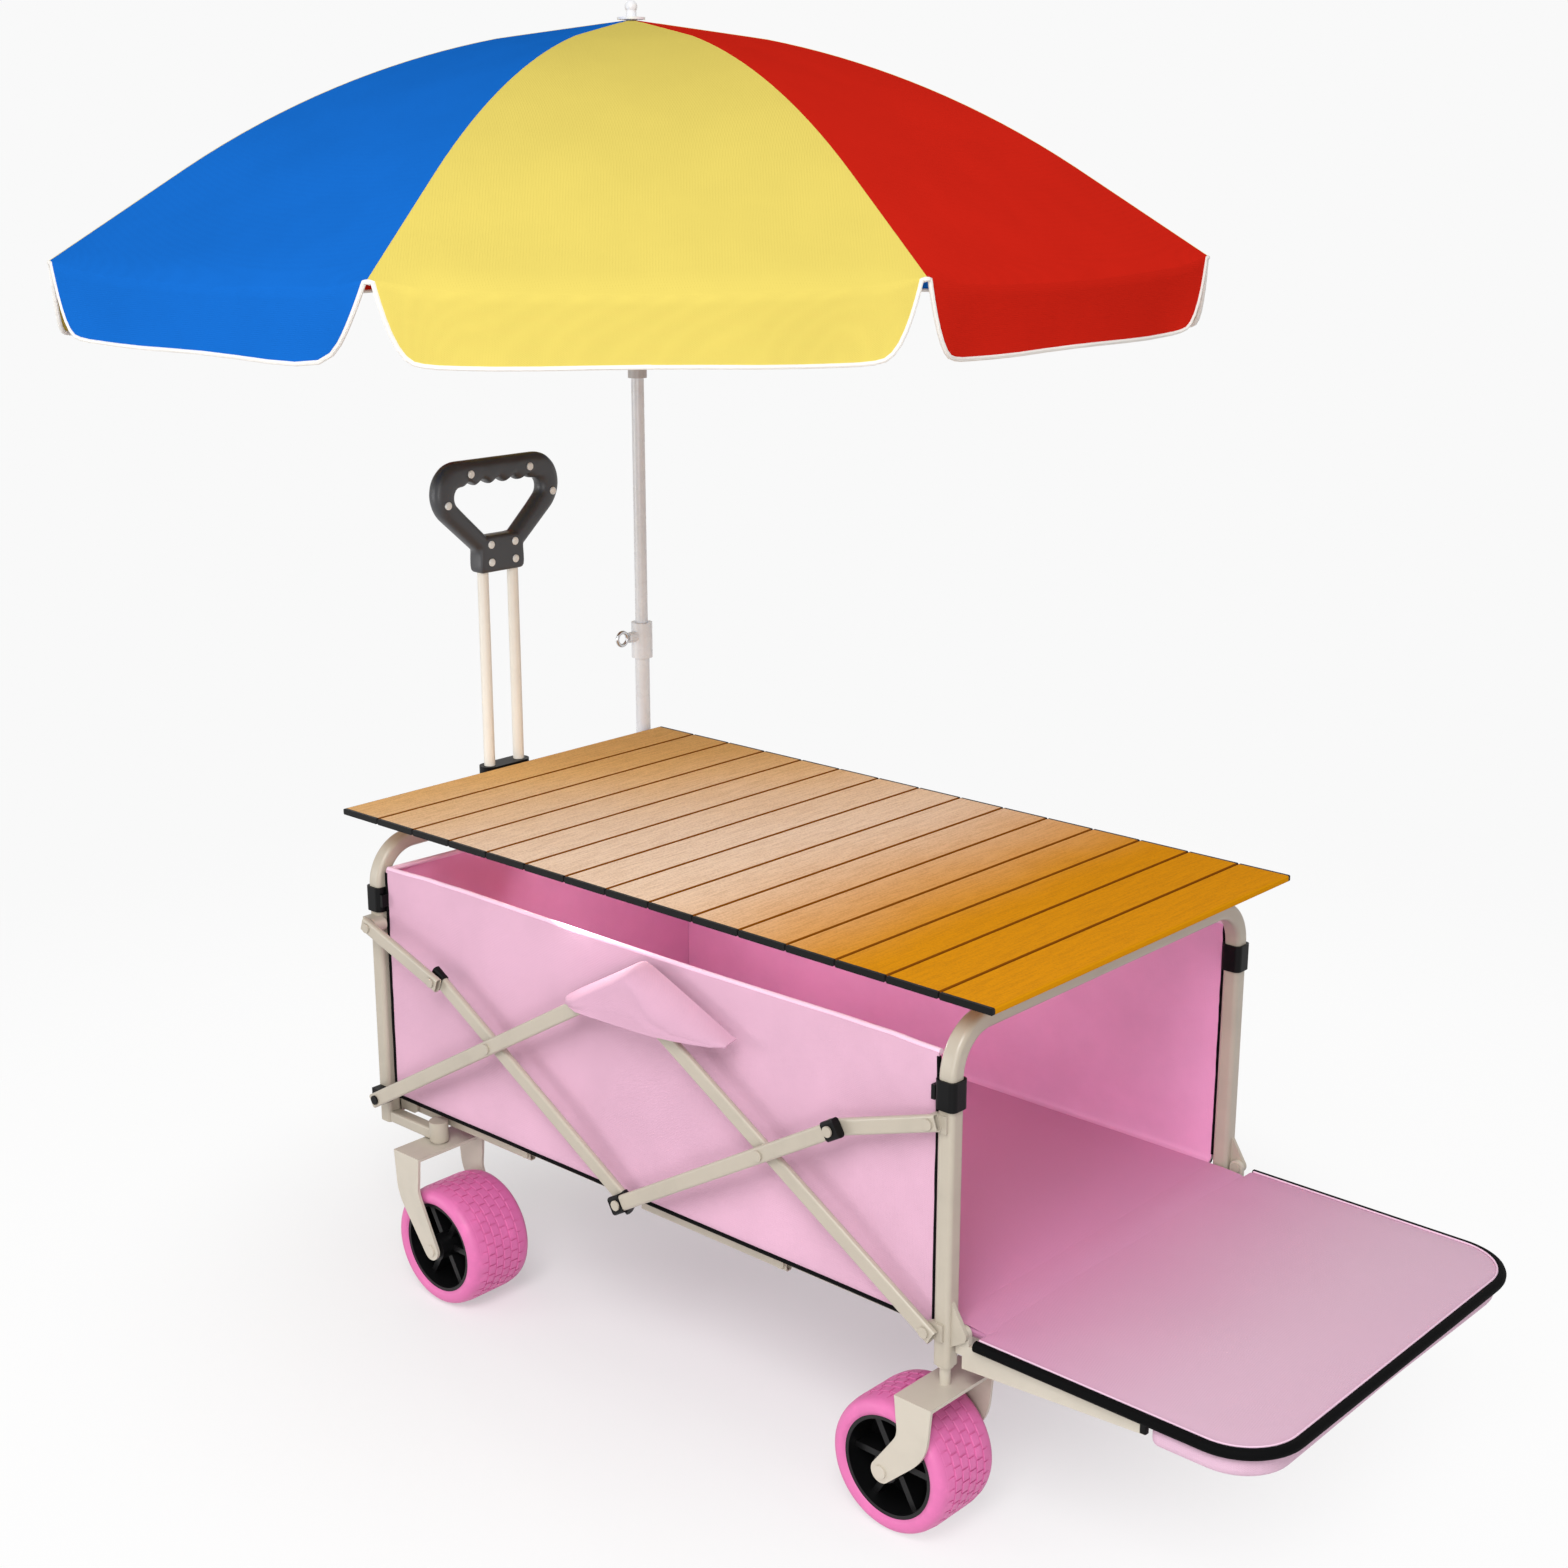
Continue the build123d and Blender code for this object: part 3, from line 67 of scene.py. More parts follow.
def scaled(colour, k):
    return tuple(min(1.0, c * k) for c in colour[:3]) + (1.0,)


# Materials

THREAD = 0.0022
RELIEF = 0.0004                     # height of threads, grain and orange peel
GAP_SHARE, GAP_DARK = 0.12, 0.72    # how far the gaps between threads darken the cloth
SHEEN_ROUGH = 0.5
COAT_ROUGH = 0.25
SLAT_PITCH = 0.0731333
SLAT_PHASE = 0.5435 + SLAT_PITCH    # sets the painted grooves on the slats' joints
GROOVE_FROM, GROOVE_FULL = 0.456, 0.468
RIM_FROM, RIM_FULL = 0.5495, 0.5515


class Shader:
    """A Principled material with short calls for its nodes."""

    def __init__(self, name):
        self.material = bpy.data.materials.new(name)
        self.material.use_nodes = True
        self.tree = self.material.node_tree
        self.bsdf = self.tree.nodes["Principled BSDF"]
        self.coords = self.tree.nodes.new("ShaderNodeTexCoord")

    def put(self, node, key, value):
        socket = node.inputs[key]
        if isinstance(value, bpy.types.NodeSocket):
            self.tree.links.new(value, socket)
        else:
            socket.default_value = value

    def node(self, kind, props=None, **inputs):
        node = self.tree.nodes.new(kind)
        for key, value in (props or {}).items():
            setattr(node, key, value)
        for key, value in inputs.items():
            self.put(node, key.replace("_", " "), value)
        return node

    def math(self, operation, a, b=0.0):
        node = self.node("ShaderNodeMath", {"operation": operation})
        self.put(node, 0, a)
        self.put(node, 1, b)
        return node.outputs[0]

    def noise(self, scale, detail=3.0, rough=0.55, stretch=None):
        vector = self.coords.outputs["Object"]
        if stretch:
            vector = self.node("ShaderNodeMapping", Vector=vector, Scale=stretch).outputs[0]
        node = self.node("ShaderNodeTexNoise", Vector=vector, Scale=scale, Detail=detail, Roughness=rough)
        return node.outputs["Fac"]

    def mix(self, factor, a, b):
        node = self.node("ShaderNodeMix", {"data_type": "RGBA"})
        self.put(node, 0, factor)
        self.put(node, 6, a)
        self.put(node, 7, b)
        return node.outputs[2]

    def ramp(self, factor, low, high):
        node = self.node("ShaderNodeMapRange", {"interpolation_type": "SMOOTHSTEP"})
        self.put(node, 0, factor)
        self.put(node, 1, low)
        self.put(node, 2, high)
        return node.outputs[0]

    def bump(self, height, strength, distance):
        node = self.node("ShaderNodeBump", Height=height, Strength=strength, Distance=distance)
        self.put(self.bsdf, "Normal", node.outputs[0])

    def set(self, **inputs):
        for key, value in inputs.items():
            self.put(self.bsdf, key.replace("_", " "), value)


def weave(shader, thread):
    """Crossed threads whatever way the surface faces."""
    k = 2 * math.pi / thread
    split = shader.node("ShaderNodeSeparateXYZ", Vector=shader.coords.outputs["Object"])
    waves = [shader.math("SINE", shader.math("MULTIPLY", split.outputs[i], k)) for i in range(3)]
    xy = shader.math("MULTIPLY", waves[0], waves[1])
    yz = shader.math("MULTIPLY", waves[1], waves[2])
    zx = shader.math("MULTIPLY", waves[2], waves[0])
    return shader.math("ADD", shader.math("ADD", xy, yz), zx)


def cloth_finish(s, threads, base, colour, rough, sheen, gloss, depth):
    """Dark gaps between threads, sheen and thread relief."""
    fleck = s.math("MULTIPLY", s.ramp(threads, -1.5, 1.5), GAP_SHARE)
    s.set(Base_Color=s.mix(fleck, base, scaled(colour, GAP_DARK)), Roughness=rough)
    s.set(Sheen_Weight=sheen, Sheen_Roughness=SHEEN_ROUGH, Specular_IOR_Level=gloss)
    s.bump(threads, depth, RELIEF)


def fabric(name, colour, thread=THREAD, rough=0.8, sheen=0.1, variation=0.05, depth=0.25, gloss=0.25):
    """Woven cloth with slight colour drift and threads."""
    s = Shader(name)
    threads = weave(s, thread)
    drift = s.ramp(s.noise(7.0, 4.0), 0.3, 0.7)
    base = s.mix(drift, scaled(colour, 1 - variation), scaled(colour, 1 + variation))
    cloth_finish(s, threads, base, colour, rough, sheen, gloss, depth)
    return s.material


def floor_cloth(name, deep, pale, fade_from=0.46, fade_full=0.86):
    """Floor fabric that runs on over the tailgate and fades towards its outer end."""
    s = Shader(name)
    split = s.node("ShaderNodeSeparateXYZ", Vector=s.coords.outputs["Object"])
    threads = weave(s, THREAD)
    place = s.math("ADD", split.outputs[0], s.math("MULTIPLY", s.noise(4.0), 0.08))
    base = s.mix(s.ramp(place, fade_from, fade_full), deep, pale)
    cloth_finish(s, threads, base, deep, rough=0.8, sheen=0.1, gloss=0.25, depth=0.25)
    return s.material


def paint(name, colour, rough=0.36, coat=0.15):
    """Powder coat: faint orange peel and a little soil."""
    s = Shader(name)
    soil = s.ramp(s.noise(14.0, 5.0), 0.42, 0.75)
    s.set(Base_Color=s.mix(soil, scaled(colour, 1.03), scaled(colour, 0.93)))
    s.set(Coat_Weight=coat, Coat_Roughness=COAT_ROUGH)
    s.set(Roughness=s.math("ADD", s.math("MULTIPLY", s.noise(60.0), 0.12), rough - 0.06))
    s.bump(s.noise(900.0, 2.0), 0.06, RELIEF)
    return s.material


def plastic(name, colour, rough=0.42, grain=1400.0, depth=0.12, gloss=0.5):
    """Moulded plastic with a spark-eroded grain and scuffed high spots."""
    s = Shader(name)
    scuff = s.ramp(s.noise(38.0, 6.0, 0.7), 0.55, 0.8)
    s.set(Base_Color=s.mix(scuff, colour, scaled(colour, 1.35)), Specular_IOR_Level=gloss)
    s.set(Roughness=s.math("ADD", s.math("MULTIPLY", scuff, 0.15), rough))
    s.bump(s.noise(grain, 2.0), depth, RELIEF)
    return s.material


def foam_rubber(name, colour):
    """Tyre rubber: fine skin, dusty patches."""
    s = Shader(name)
    dust = s.ramp(s.noise(30.0, 5.0, 0.65), 0.48, 0.8)
    s.set(Base_Color=s.mix(dust, colour, scaled(colour, 1.16)), Specular_IOR_Level=0.4)
    s.set(Roughness=s.math("ADD", s.math("MULTIPLY", s.noise(90.0), 0.2), 0.36))
    s.bump(s.noise(700.0, 3.0), 0.12, 0.0005)
    return s.material


def brushed(name, colour, rough=0.3):
    """Bare steel with fine upright lines."""
    s = Shader(name)
    lines = s.noise(220.0, 2.0, 0.5, (1.0, 1.0, 0.03))
    s.set(Base_Color=s.mix(lines, scaled(colour, 0.9), scaled(colour, 1.08)), Metallic=1.0)
    s.set(Roughness=s.math("ADD", s.math("MULTIPLY", lines, 0.2), rough - 0.1))
    s.bump(lines, 0.05, 0.0003)
    return s.material


def table_wood(name):
    """Varnished slats: tan in the middle, lightened there by a painted sheen, golden towards the rear end,
    speckled grain along each slat.
    """
    s = Shader(name)
    split = s.node("ShaderNodeSeparateXYZ", Vector=s.coords.outputs["Object"])
    x = split.outputs[0]
    # The pale tan in the middle is partly the slats' colour and partly a painted sheen in place of a
    # reflection, since the slats have no specular.
    tan, gold, brown = srgb(252, 223, 196), srgb(220, 146, 22), srgb(244, 190, 112)
    fibre_brown, groove_brown, rim_gold = srgb(150, 92, 30), srgb(132, 74, 14), srgb(206, 138, 14)
    rear = s.ramp(s.math("ADD", x, s.math("MULTIPLY", s.noise(3.0), 0.12)), 0.02, 0.44)
    lean = s.math("SUBTRACT", x, s.math("MULTIPLY", split.outputs[1], 0.5))
    front = s.ramp(s.math("ADD", lean, s.math("MULTIPLY", s.noise(2.4), 0.25)), 0.08, -0.42)
    base = s.mix(s.math("MULTIPLY", front, 0.9), tan, brown)
    base = s.mix(rear, base, gold)
    fibre = s.noise(60.0, 6.0, 0.65, (5.0, 0.35, 1.0))
    speck = s.noise(420.0, 2.0, 0.6)
    mottle = s.math("ADD", s.math("MULTIPLY", fibre, 0.6), s.math("MULTIPLY", speck, 0.5))
    grained = s.mix(s.ramp(mottle, 0.42, 0.75), base, s.mix(0.35, base, fibre_brown))
    share = s.math("FRACT", s.math("DIVIDE", s.math("ADD", x, SLAT_PHASE), SLAT_PITCH))
    groove = s.ramp(s.math("ABSOLUTE", s.math("SUBTRACT", share, 0.5)), GROOVE_FROM, GROOVE_FULL)
    end = s.ramp(x, RIM_FROM, RIM_FULL)
    groove = s.math("MULTIPLY", groove, s.math("SUBTRACT", 1.0, end))
    coloured = s.mix(groove, grained, groove_brown)
    s.set(Base_Color=s.mix(end, coloured, rim_gold), Specular_IOR_Level=0.0)
    s.set(Roughness=s.math("ADD", s.math("MULTIPLY", speck, 0.25), 0.3))
    s.bump(mottle, 0.15, 0.0006)
    return s.material


CREAM = paint("cream_paint", srgb(177, 168, 153))
FORK_CREAM = paint("fork_paint", srgb(192, 184, 170))
# Painted light: the handle rods and tubes get a lighter copy of the frame's cream paint, which is their lit
# colour with its highlights painted in.
ROD_CREAM_LIT = paint("rod_paint_lit", srgb(234, 228, 217))
WHITE = paint("white_paint", srgb(228, 229, 232), 0.28, 0.3)
BLACK = plastic("black_plastic", srgb(9, 9, 10), gloss=0.14)
HUB_BLACK = plastic("hub_plastic", srgb(12, 12, 13), 0.36, 900.0, 0.08, 0.3)
GRIP = plastic("grip_plastic", srgb(58, 58, 61), 0.4, 800.0, 0.2)
WHITE_PLASTIC = plastic("white_plastic", srgb(232, 231, 226), 0.3, 1200.0, 0.05)
GREY_PLASTIC = plastic("grey_plastic", srgb(188, 183, 181), 0.4)
STEEL = brushed("steel", srgb(200, 200, 202))
TYRE = foam_rubber("pink_tyre", srgb(212, 109, 165))
WOOD = table_wood("table_wood")
PALE = fabric("pale_pink_fabric", srgb(213, 168, 191))
DEEP = fabric("deep_pink_fabric", srgb(230, 161, 203))
# Painted shade: the flap's cloth is a darker copy of the pale wall fabric, so that the flap, which catches
# more light, reads in the wall's tone.
FLAP_SHADED = fabric("flap_fabric_shaded", srgb(206, 161, 184))
FLOOR = floor_cloth("floor_fabric", srgb(200, 130, 171), srgb(214, 179, 199))
# Piping with a painted highlight: its pale colour is partly the piping's own and partly the highlight along
# its top painted in.
PIPING_HIGHLIGHT = fabric("pink_piping_highlight", srgb(238, 202, 224), 0.0016)
BINDING = fabric("black_binding", srgb(9, 9, 10), 0.0018, 0.7, 0.0, gloss=0.05)
WHITE_TAPE = fabric("white_tape", srgb(238, 235, 230), 0.0016)
BLUE = fabric("blue_canopy", srgb(22, 102, 194), 0.0024, 0.6, 0.0, 0.03, gloss=0.0)
YELLOW = fabric("yellow_canopy", srgb(216, 197, 98), 0.0024, 0.6, 0.0, 0.02, gloss=0.0)
RED = fabric("red_canopy", srgb(203, 36, 23), 0.0024, 0.6, 0.0, 0.03, gloss=0.0)

NODE_MATERIALS = {
    CREAM: ("front_frame", "rear_frame", "front_outer_braces", "front_inner_braces", "rear_inner_braces",
            "rear_outer_braces", "front_links", "rear_links", "front_rail_outer", "front_rail_inner",
            "rear_rail_inner", "rear_rail_outer", "table_rails"),
    FORK_CREAM: ("tailgate_arms", "caster_fork_"),
    ROD_CREAM_LIT: ("handle_tubes", "handle_rods"),
    BLACK: ("front_post_fittings", "rear_post_clips", "front_brace_caps", "rear_brace_caps", "handle_collar",
            "slat_end_caps"),
    HUB_BLACK: ("wheel_hub_",),
    GRIP: ("handle_grip",),
    WHITE: ("umbrella_lower_pole", "umbrella_upper_pole", "umbrella_rib_", "umbrella_stretcher_"),
    GREY_PLASTIC: ("umbrella_runner",),
    STEEL: ("clamp_screw",),
    WOOD: ("table_slats",),
}
for material, starts in NODE_MATERIALS.items():
    for node, obj in NODES.items():
        if node.startswith(starts):
            for slot in obj.material_slots:
                slot.material = material


# Mesh building

RIM_STEPS = 4                             # facets round a quarter of a pad's rim
CROWN_POWER, RIPPLE_POWER = 2.2, 6        # how a pad's crown and ripples die out towards its rim
RIPPLES, RIPPLES_UP = 9, 30               # noise scale across a pad and through it


class Builder:
    """Collects faces from several forms into one mesh."""

    def __init__(self):
        self.points = []
        self.faces = []
        self.kinds = []

    def add(self, points, faces, kind=0):
        start = len(self.points)
        self.points += [Vector(p) for p in points]
        self.faces += [tuple(start + i for i in f) for f in faces]
        self.kinds += [kind] * len(faces)

    def grid(self, rows, kind=0, wrap=False, flip=False):
        """Rows of points, joined to quads."""
        count = len(rows[0])
        faces = []
        for i in range(len(rows) - 1):
            for j in range(count if wrap else count - 1):
                k = (j + 1) % count
                quad = (i * count + j, i * count + k, (i + 1) * count + k, (i + 1) * count + j)
                faces.append(quad[::-1] if flip else quad)
        self.add([p for row in rows for p in row], faces, kind)

    def capped(self, rows, kind=0):
        """Rings joined to a tube that is shut at both ends."""
        start, size = len(self.points), len(rows[0])
        self.grid(rows, kind, wrap=True)
        last = len(self.points) - size
        self.faces += [tuple(range(start + size - 1, start - 1, -1)), tuple(range(last, last + size))]
        self.kinds += [kind] * 2

    def tube(self, path, radius, kind=0, sides=10):
        """Round tube along points."""
        path = [Vector(p) for p in path]
        turns = [2 * math.pi * k / sides for k in range(sides)]
        rows = []
        side = None
        for i, p in enumerate(path):
            along = (path[min(i + 1, len(path) - 1)] - path[max(i - 1, 0)]).normalized()
            if side is None:
                side = along.orthogonal().normalized()
            side = (side - along * side.dot(along)).normalized()
            other = along.cross(side)
            rows.append([p + radius * (math.cos(a) * side + math.sin(a) * other) for a in turns])
        self.capped(rows, kind)

    def band(self, path, section, kind=0):
        """A closed section, drawn as outward and upward offsets, swept along a level path."""
        path = [Vector(p) for p in path]
        rows = []
        for i, p in enumerate(path):
            along = (path[min(i + 1, len(path) - 1)] - path[max(i - 1, 0)]).normalized()
            out = Vector((along.y, -along.x, 0))
            rows.append([p + out * o + Vector((0, 0, u)) for o, u in section])
        self.capped(rows, kind)

    def slab(self, outline, low, high, edge, crown=0.0, belly=0.0, kind=0, rings=7, wrinkle=0.0):
        """Padded slab over an outline: rounded rim, crowned top and bottom."""
        outline = [Vector((x, y, 0)) for x, y in outline]
        centre = sum(outline, Vector()) / len(outline)

        def ring(shrink, inset, z, bulge):
            row = []
            for p in outline:
                q = p - centre
                q = q * (1 - inset / q.length) * shrink + centre
                lift = bulge * (1 - shrink ** CROWN_POWER)
                spot = Vector((q.x * RIPPLES, q.y * RIPPLES, z * RIPPLES_UP))
                ripple = wrinkle * noise.noise(spot) * (1 - shrink ** RIPPLE_POWER)
                row.append(Vector((q.x, q.y, z + lift + ripple)))
            return row

        top = [ring(1 - k / rings, edge, high, crown) for k in range(rings)]
        quarter = [math.pi / 2 * k / RIM_STEPS for k in range(RIM_STEPS + 1)]
        turns = [(1 - math.sin(a), math.cos(a)) for a in quarter]
        upper = [ring(1, edge * t, high - edge * (1 - c), 0) for t, c in reversed(turns)][:-1]
        lower = [ring(1, edge * t, low + edge * (1 - c), 0) for t, c in turns]
        bottom = [ring(1 - k / rings, edge, low, -belly) for k in range(1, rings)]
        self.grid(upper + top, kind, wrap=True)
        self.faces.append(tuple(range(len(self.points) - len(outline), len(self.points))))
        self.kinds.append(kind)
        self.grid(list(reversed(lower)) + bottom, kind, wrap=True, flip=True)
        self.faces.append(tuple(range(len(self.points) - 1, len(self.points) - len(outline) - 1, -1)))
        self.kinds.append(kind)
        self.grid([upper[0], lower[-1]], kind, wrap=True, flip=True)

    def block(self, low, high, bevel, kind=0):
        """Box with its edges cut."""
        (x0, y0, z0), (x1, y1, z1) = low, high
        outline = [(x0 + bevel, y0), (x1 - bevel, y0), (x1, y0 + bevel), (x1, y1 - bevel), (x1 - bevel, y1),
                   (x0 + bevel, y1), (x0, y1 - bevel), (x0, y0 + bevel)]
        middle = Vector(((x0 + x1) / 2, (y0 + y1) / 2, 0))

        def ring(inset, z):
            row = []
            for x, y in outline:
                q = Vector((x, y, 0)) - middle
                row.append(middle + Vector((q.x - math.copysign(min(inset, abs(q.x)), q.x),
                                            q.y - math.copysign(min(inset, abs(q.y)), q.y), z)))
            return row

        self.capped([ring(bevel, z0), ring(0, z0 + bevel), ring(0, z1 - bevel), ring(bevel, z1)], kind)

    def build(self, name, materials, smooth=40.0):
        """The finished object, with edges sharper than smooth degrees left sharp."""
        mesh = bpy.data.meshes.new(name)
        mesh.from_pydata(self.points, [], self.faces)
        for material in materials:
            mesh.materials.append(material)
        for polygon, kind in zip(mesh.polygons, self.kinds):
            polygon.material_index = kind
            polygon.use_smooth = True
        mesh.validate()
        mesh.set_sharp_from_angle(angle=math.radians(smooth))
        obj = bpy.data.objects.new(name, mesh)
        scene.collection.objects.link(obj)
        return obj


def thicken(obj, thickness, offset=-1.0, inner=0, sharp=40.0):
    """Gives a sheet its thickness; inner shifts the back face's material."""
    modifier = obj.modifiers.new("cloth", "SOLIDIFY")
    modifier.thickness = thickness
    modifier.offset = offset
    modifier.material_offset = inner
    modifier.use_even_offset = True
    bpy.context.view_layer.update()
    mesh = bpy.data.meshes.new_from_object(obj.evaluated_get(bpy.context.evaluated_depsgraph_get()))
    obj.modifiers.clear()
    obj.data = mesh
    mesh.set_sharp_from_angle(angle=math.radians(sharp))


def spread(low, high, count):
    """Even steps from low to high, both included."""
    return [low + (high - low) * i / (count - 1) for i in range(count)]


def smoothstep(t):
    t = max(0.0, min(1.0, t))
    return t * t * (3 - 2 * t)


def rounded(corners, steps=10):
    """Outline points from corners given as x, y and radius."""
    points = []
    count = len(corners)
    for i, (x, y, r) in enumerate(corners):
        here = Vector((x, y))
        if r <= 0:
            points.append((x, y))
            continue
        a = (Vector(corners[i - 1][:2]) - here).normalized()
        b = (Vector(corners[(i + 1) % count][:2]) - here).normalized()
        half = a.angle(b) / 2
        reach = r / math.tan(half)
        middle = here + (a + b).normalized() * (r / math.sin(half))
        start = here + a * reach - middle
        stop = here + b * reach - middle
        turn = math.atan2(start.x * stop.y - start.y * stop.x, start.dot(stop))
        for k in range(steps + 1):
            w = turn * k / steps
            points.append((middle.x + start.x * math.cos(w) - start.y * math.sin(w),
                           middle.y + start.x * math.sin(w) + start.y * math.cos(w)))
    return points


def densify(points, gap):
    """Extra points on the long runs of a closed outline."""
    result = []
    for i, p in enumerate(points):
        q = points[(i + 1) % len(points)]
        count = max(1, int(math.dist(p, q) / gap))
        result += [(p[0] + (q[0] - p[0]) * k / count, p[1] + (q[1] - p[1]) * k / count) for k in range(count)]
    return result


# Umbrella canopy: one piece round each rib, from the middle of one panel to the middle of the next

POLE = Vector((-0.560, 0.282, 0.0))
RIBS = 8
RIB_ANGLES = [-20.5 + 360.0 / RIBS * i for i in range(RIBS)]
PANELS = [RED, YELLOW, BLUE, YELLOW, RED, YELLOW, BLUE, YELLOW]     # panel i lies between rib i and rib i + 1
ROOT, KNEE, TIP = (0.023, 1.674), (0.390, 1.6375), (0.820, 1.370)
RIB_BEND = 1.300
CLOTH_LIFT = 0.0042
RIM_R = 0.8255
SIDE = 2 * RIM_R * math.sin(math.pi / RIBS)
VALANCE = 0.085
VALANCE_ROWS = 7
NOTCH, NOTCH_DEEP = 0.006, 0.0008            # half width of the notch at a rib, and the cloth left in it
ROUND, WIDE_ROUND, ROUND_POWER = 0.056, 0.13, 2.5
WIDE_CORNER = (7, -1)                        # the piece, and its side, whose corner is cut wider
HEM_RISE = 0.006
CROWN_R, CROWN_LIFT = 0.20, 0.0105
PANEL_SAG, SAG_POWER = 0.012, 1.5
RIM_BAND, RIM_FALL, RIM_EASE = 0.03, 0.006, 0.08
FLARE, FLARE_IN, FLARE_EASE = 0.010, 0.4, 0.1
WAVE, WAVES = 0.0025, 42
CANOPY_CLOTH = 0.0012
HEM_R, SEAM_R, SEAM_LIFT = 0.0030, 0.0011, 0.0004
CROWN_RADII = [0.0085, 0.02, 0.04, 0.07]
RIM_INSETS = [0.022, 0.015, 0.009, 0.004, 0.0012, 0.0]
COLUMN_X = (0.0, 0.003, 0.006, 0.0085, 0.012, 0.017, 0.023, 0.030, 0.038, 0.047, 0.058,
            0.075, 0.10, 0.14, 0.19, 0.25)   # closer beside the rib, where the notch is


def rib_height(r):
    """Height of a rib's centre line at a radius."""
    a1 = math.atan2(KNEE[1] - ROOT[1], KNEE[0] - ROOT[0])
    a2 = math.atan2(TIP[1] - KNEE[1], TIP[0] - KNEE[0])
    reach = RIB_BEND * math.tan((a1 - a2) / 2)
    r1, z1 = KNEE[0] - reach * math.cos(a1), KNEE[1] - reach * math.sin(a1)
    r2 = KNEE[0] + reach * math.cos(a2)
    if r <= r1:
        return ROOT[1] + math.tan(a1) * (r - ROOT[0])
    if r >= r2:
        return TIP[1] + math.tan(a2) * (r - TIP[0])
    centre_r, centre_z = r1 + RIB_BEND * math.sin(a1), z1 - RIB_BEND * math.cos(a1)
    return centre_z + math.sqrt(RIB_BEND ** 2 - (r - centre_r) ** 2)


def cloth_height(r):
    """Height of the cloth over a rib: over the crown first, then along the rib."""
    if r >= CROWN_R:
        return rib_height(r) + CLOTH_LIFT
    t = r / CROWN_R
    return (ROOT[1] + CROWN_LIFT) * (1 - t) + (rib_height(CROWN_R) + CLOTH_LIFT) * t


def valance_drop(x, end):
    """Depth of the valance at a distance along the rim from a rib: a notch first, then a round corner."""
    if x <= NOTCH:
        return NOTCH_DEEP
    if x < end:
        return NOTCH_DEEP + VALANCE * (1 - ((end - x) / (end - NOTCH)) ** ROUND_POWER)
    return NOTCH_DEEP + VALANCE - HEM_RISE * smoothstep((x - end) / (SIDE / 2 - end))


def level(angle):
    """Unit vector at an angle round the pole."""
    return Vector((math.cos(angle), math.sin(angle), 0))


def canopy_half(number, turn, radii, columns):
    """Rows of points from the crown to the hem, on one side of a rib."""
    angle = math.radians(RIB_ANGLES[number])
    here, there = level(angle), level(angle + turn * 2 * math.pi / RIBS)
    outward = (here + there).normalized()
    end = WIDE_ROUND if (number, turn) == WIDE_CORNER else ROUND
    rows = []
    for r in radii:
        near = max(0.0, 1 - (RIM_R - r) / RIM_BAND)
        row = []
        for t in columns:
            p = POLE + (here * (1 - t) + there * t) * r
            p.z = cloth_height(r) - PANEL_SAG * 4 * t * (1 - t) * (r / RIM_R) ** SAG_POWER
            p.z -= RIM_FALL * near ** 2 * smoothstep(t * SIDE / RIM_EASE)
            row.append(p)
        rows.append(row)
    rim = rows[-1]
    for step in range(1, VALANCE_ROWS + 1):
        row = []
        for t, top in zip(columns, rim):
            x = t * SIDE
            drop = valance_drop(x, end) * step / VALANCE_ROWS
            flare = FLARE * math.sin(math.pi / 2 * min(1.0, drop / VALANCE)) * smoothstep(x / FLARE_EASE)
            wave = WAVE * math.sin(x * WAVES + number) * (1 - 2 * t) * (drop / VALANCE)
            row.append(top + Vector((0, 0, -drop)) + outward * (wave - flare * FLARE_IN))
        rows.append(row)
    return rows


def canopy_piece(number):
    """Half a panel on each side of a rib, with its hem tape and its seam."""
    angle = math.radians(RIB_ANGLES[number])
    here = level(angle)
    radii = CROWN_RADII + spread(0.10, RIM_R - RIM_BAND, 28) + [RIM_R - inset for inset in RIM_INSETS]
    columns = [x / SIDE for x in COLUMN_X] + [0.5]
    cloth = Builder()
    hem = {}
    for kind, turn in enumerate((1, -1)):
        rows = canopy_half(number, turn, radii, columns)
        cloth.grid(rows, kind, flip=turn < 0)
        hem[turn] = rows[-1]
    obj = cloth.build(f"canopy_{number + 1}", [PANELS[number], PANELS[number - 1], WHITE_TAPE, YELLOW], 60)
    thicken(obj, CANOPY_CLOTH, sharp=75.0)
    trim = Builder()
    trim.tube(list(reversed(hem[-1])) + hem[1][1:], HEM_R, 2, 8)
    seam = [POLE + here * r + Vector((0, 0, cloth_height(r) + SEAM_LIFT)) for r in radii[2:]]
    trim.tube(seam, SEAM_R, 3, 6)
    edge = trim.build(f"canopy_trim_{number + 1}", list(obj.data.materials))
    for piece in (obj, edge):
        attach(piece, f"rib_{number + 1}")
        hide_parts("umbrella_canopy")
        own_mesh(piece)


for number in range(RIBS):
    canopy_piece(number)


# Fabric body

BODY_END = 0.473
BODY_Y = 0.2865
BODY_LOW = 0.2485
BODY_TOP = 0.5790
BODY_CORNER = 0.012
WALL = 0.0028
WALL_LEAN, LEAN_POWER, LEAN_RISE = 0.0105, 6, 0.3      # slack that lets the side walls belly outwards
CREASE = 0.0012
PULL, PULLS, PULL_SLANT = 0.0008, 28, 1.4              # tension lines towards the ends
PULL_FROM, PULL_BAND = 0.25, 0.2
SIDE_FROM, SIDE_BAND = 0.25, 0.03                      # slack grows from the floor's edge outwards
RIM_DROOP = 0.005
FRONT_IN, FRONT_TRIM, FRONT_FOOT = 0.0016, 0.0012, 0.004
FRONT_CREASE, FRONT_BELLY, FRONT_DROOP = 0.002, 0.003, 0.003
RIM_PIPE_R, END_BIND_R, FOOT_BIND_R = 0.0036, 0.0026, 0.0032
RIM_PIPE_UP, END_BIND_OUT = 0.0005, 0.0022


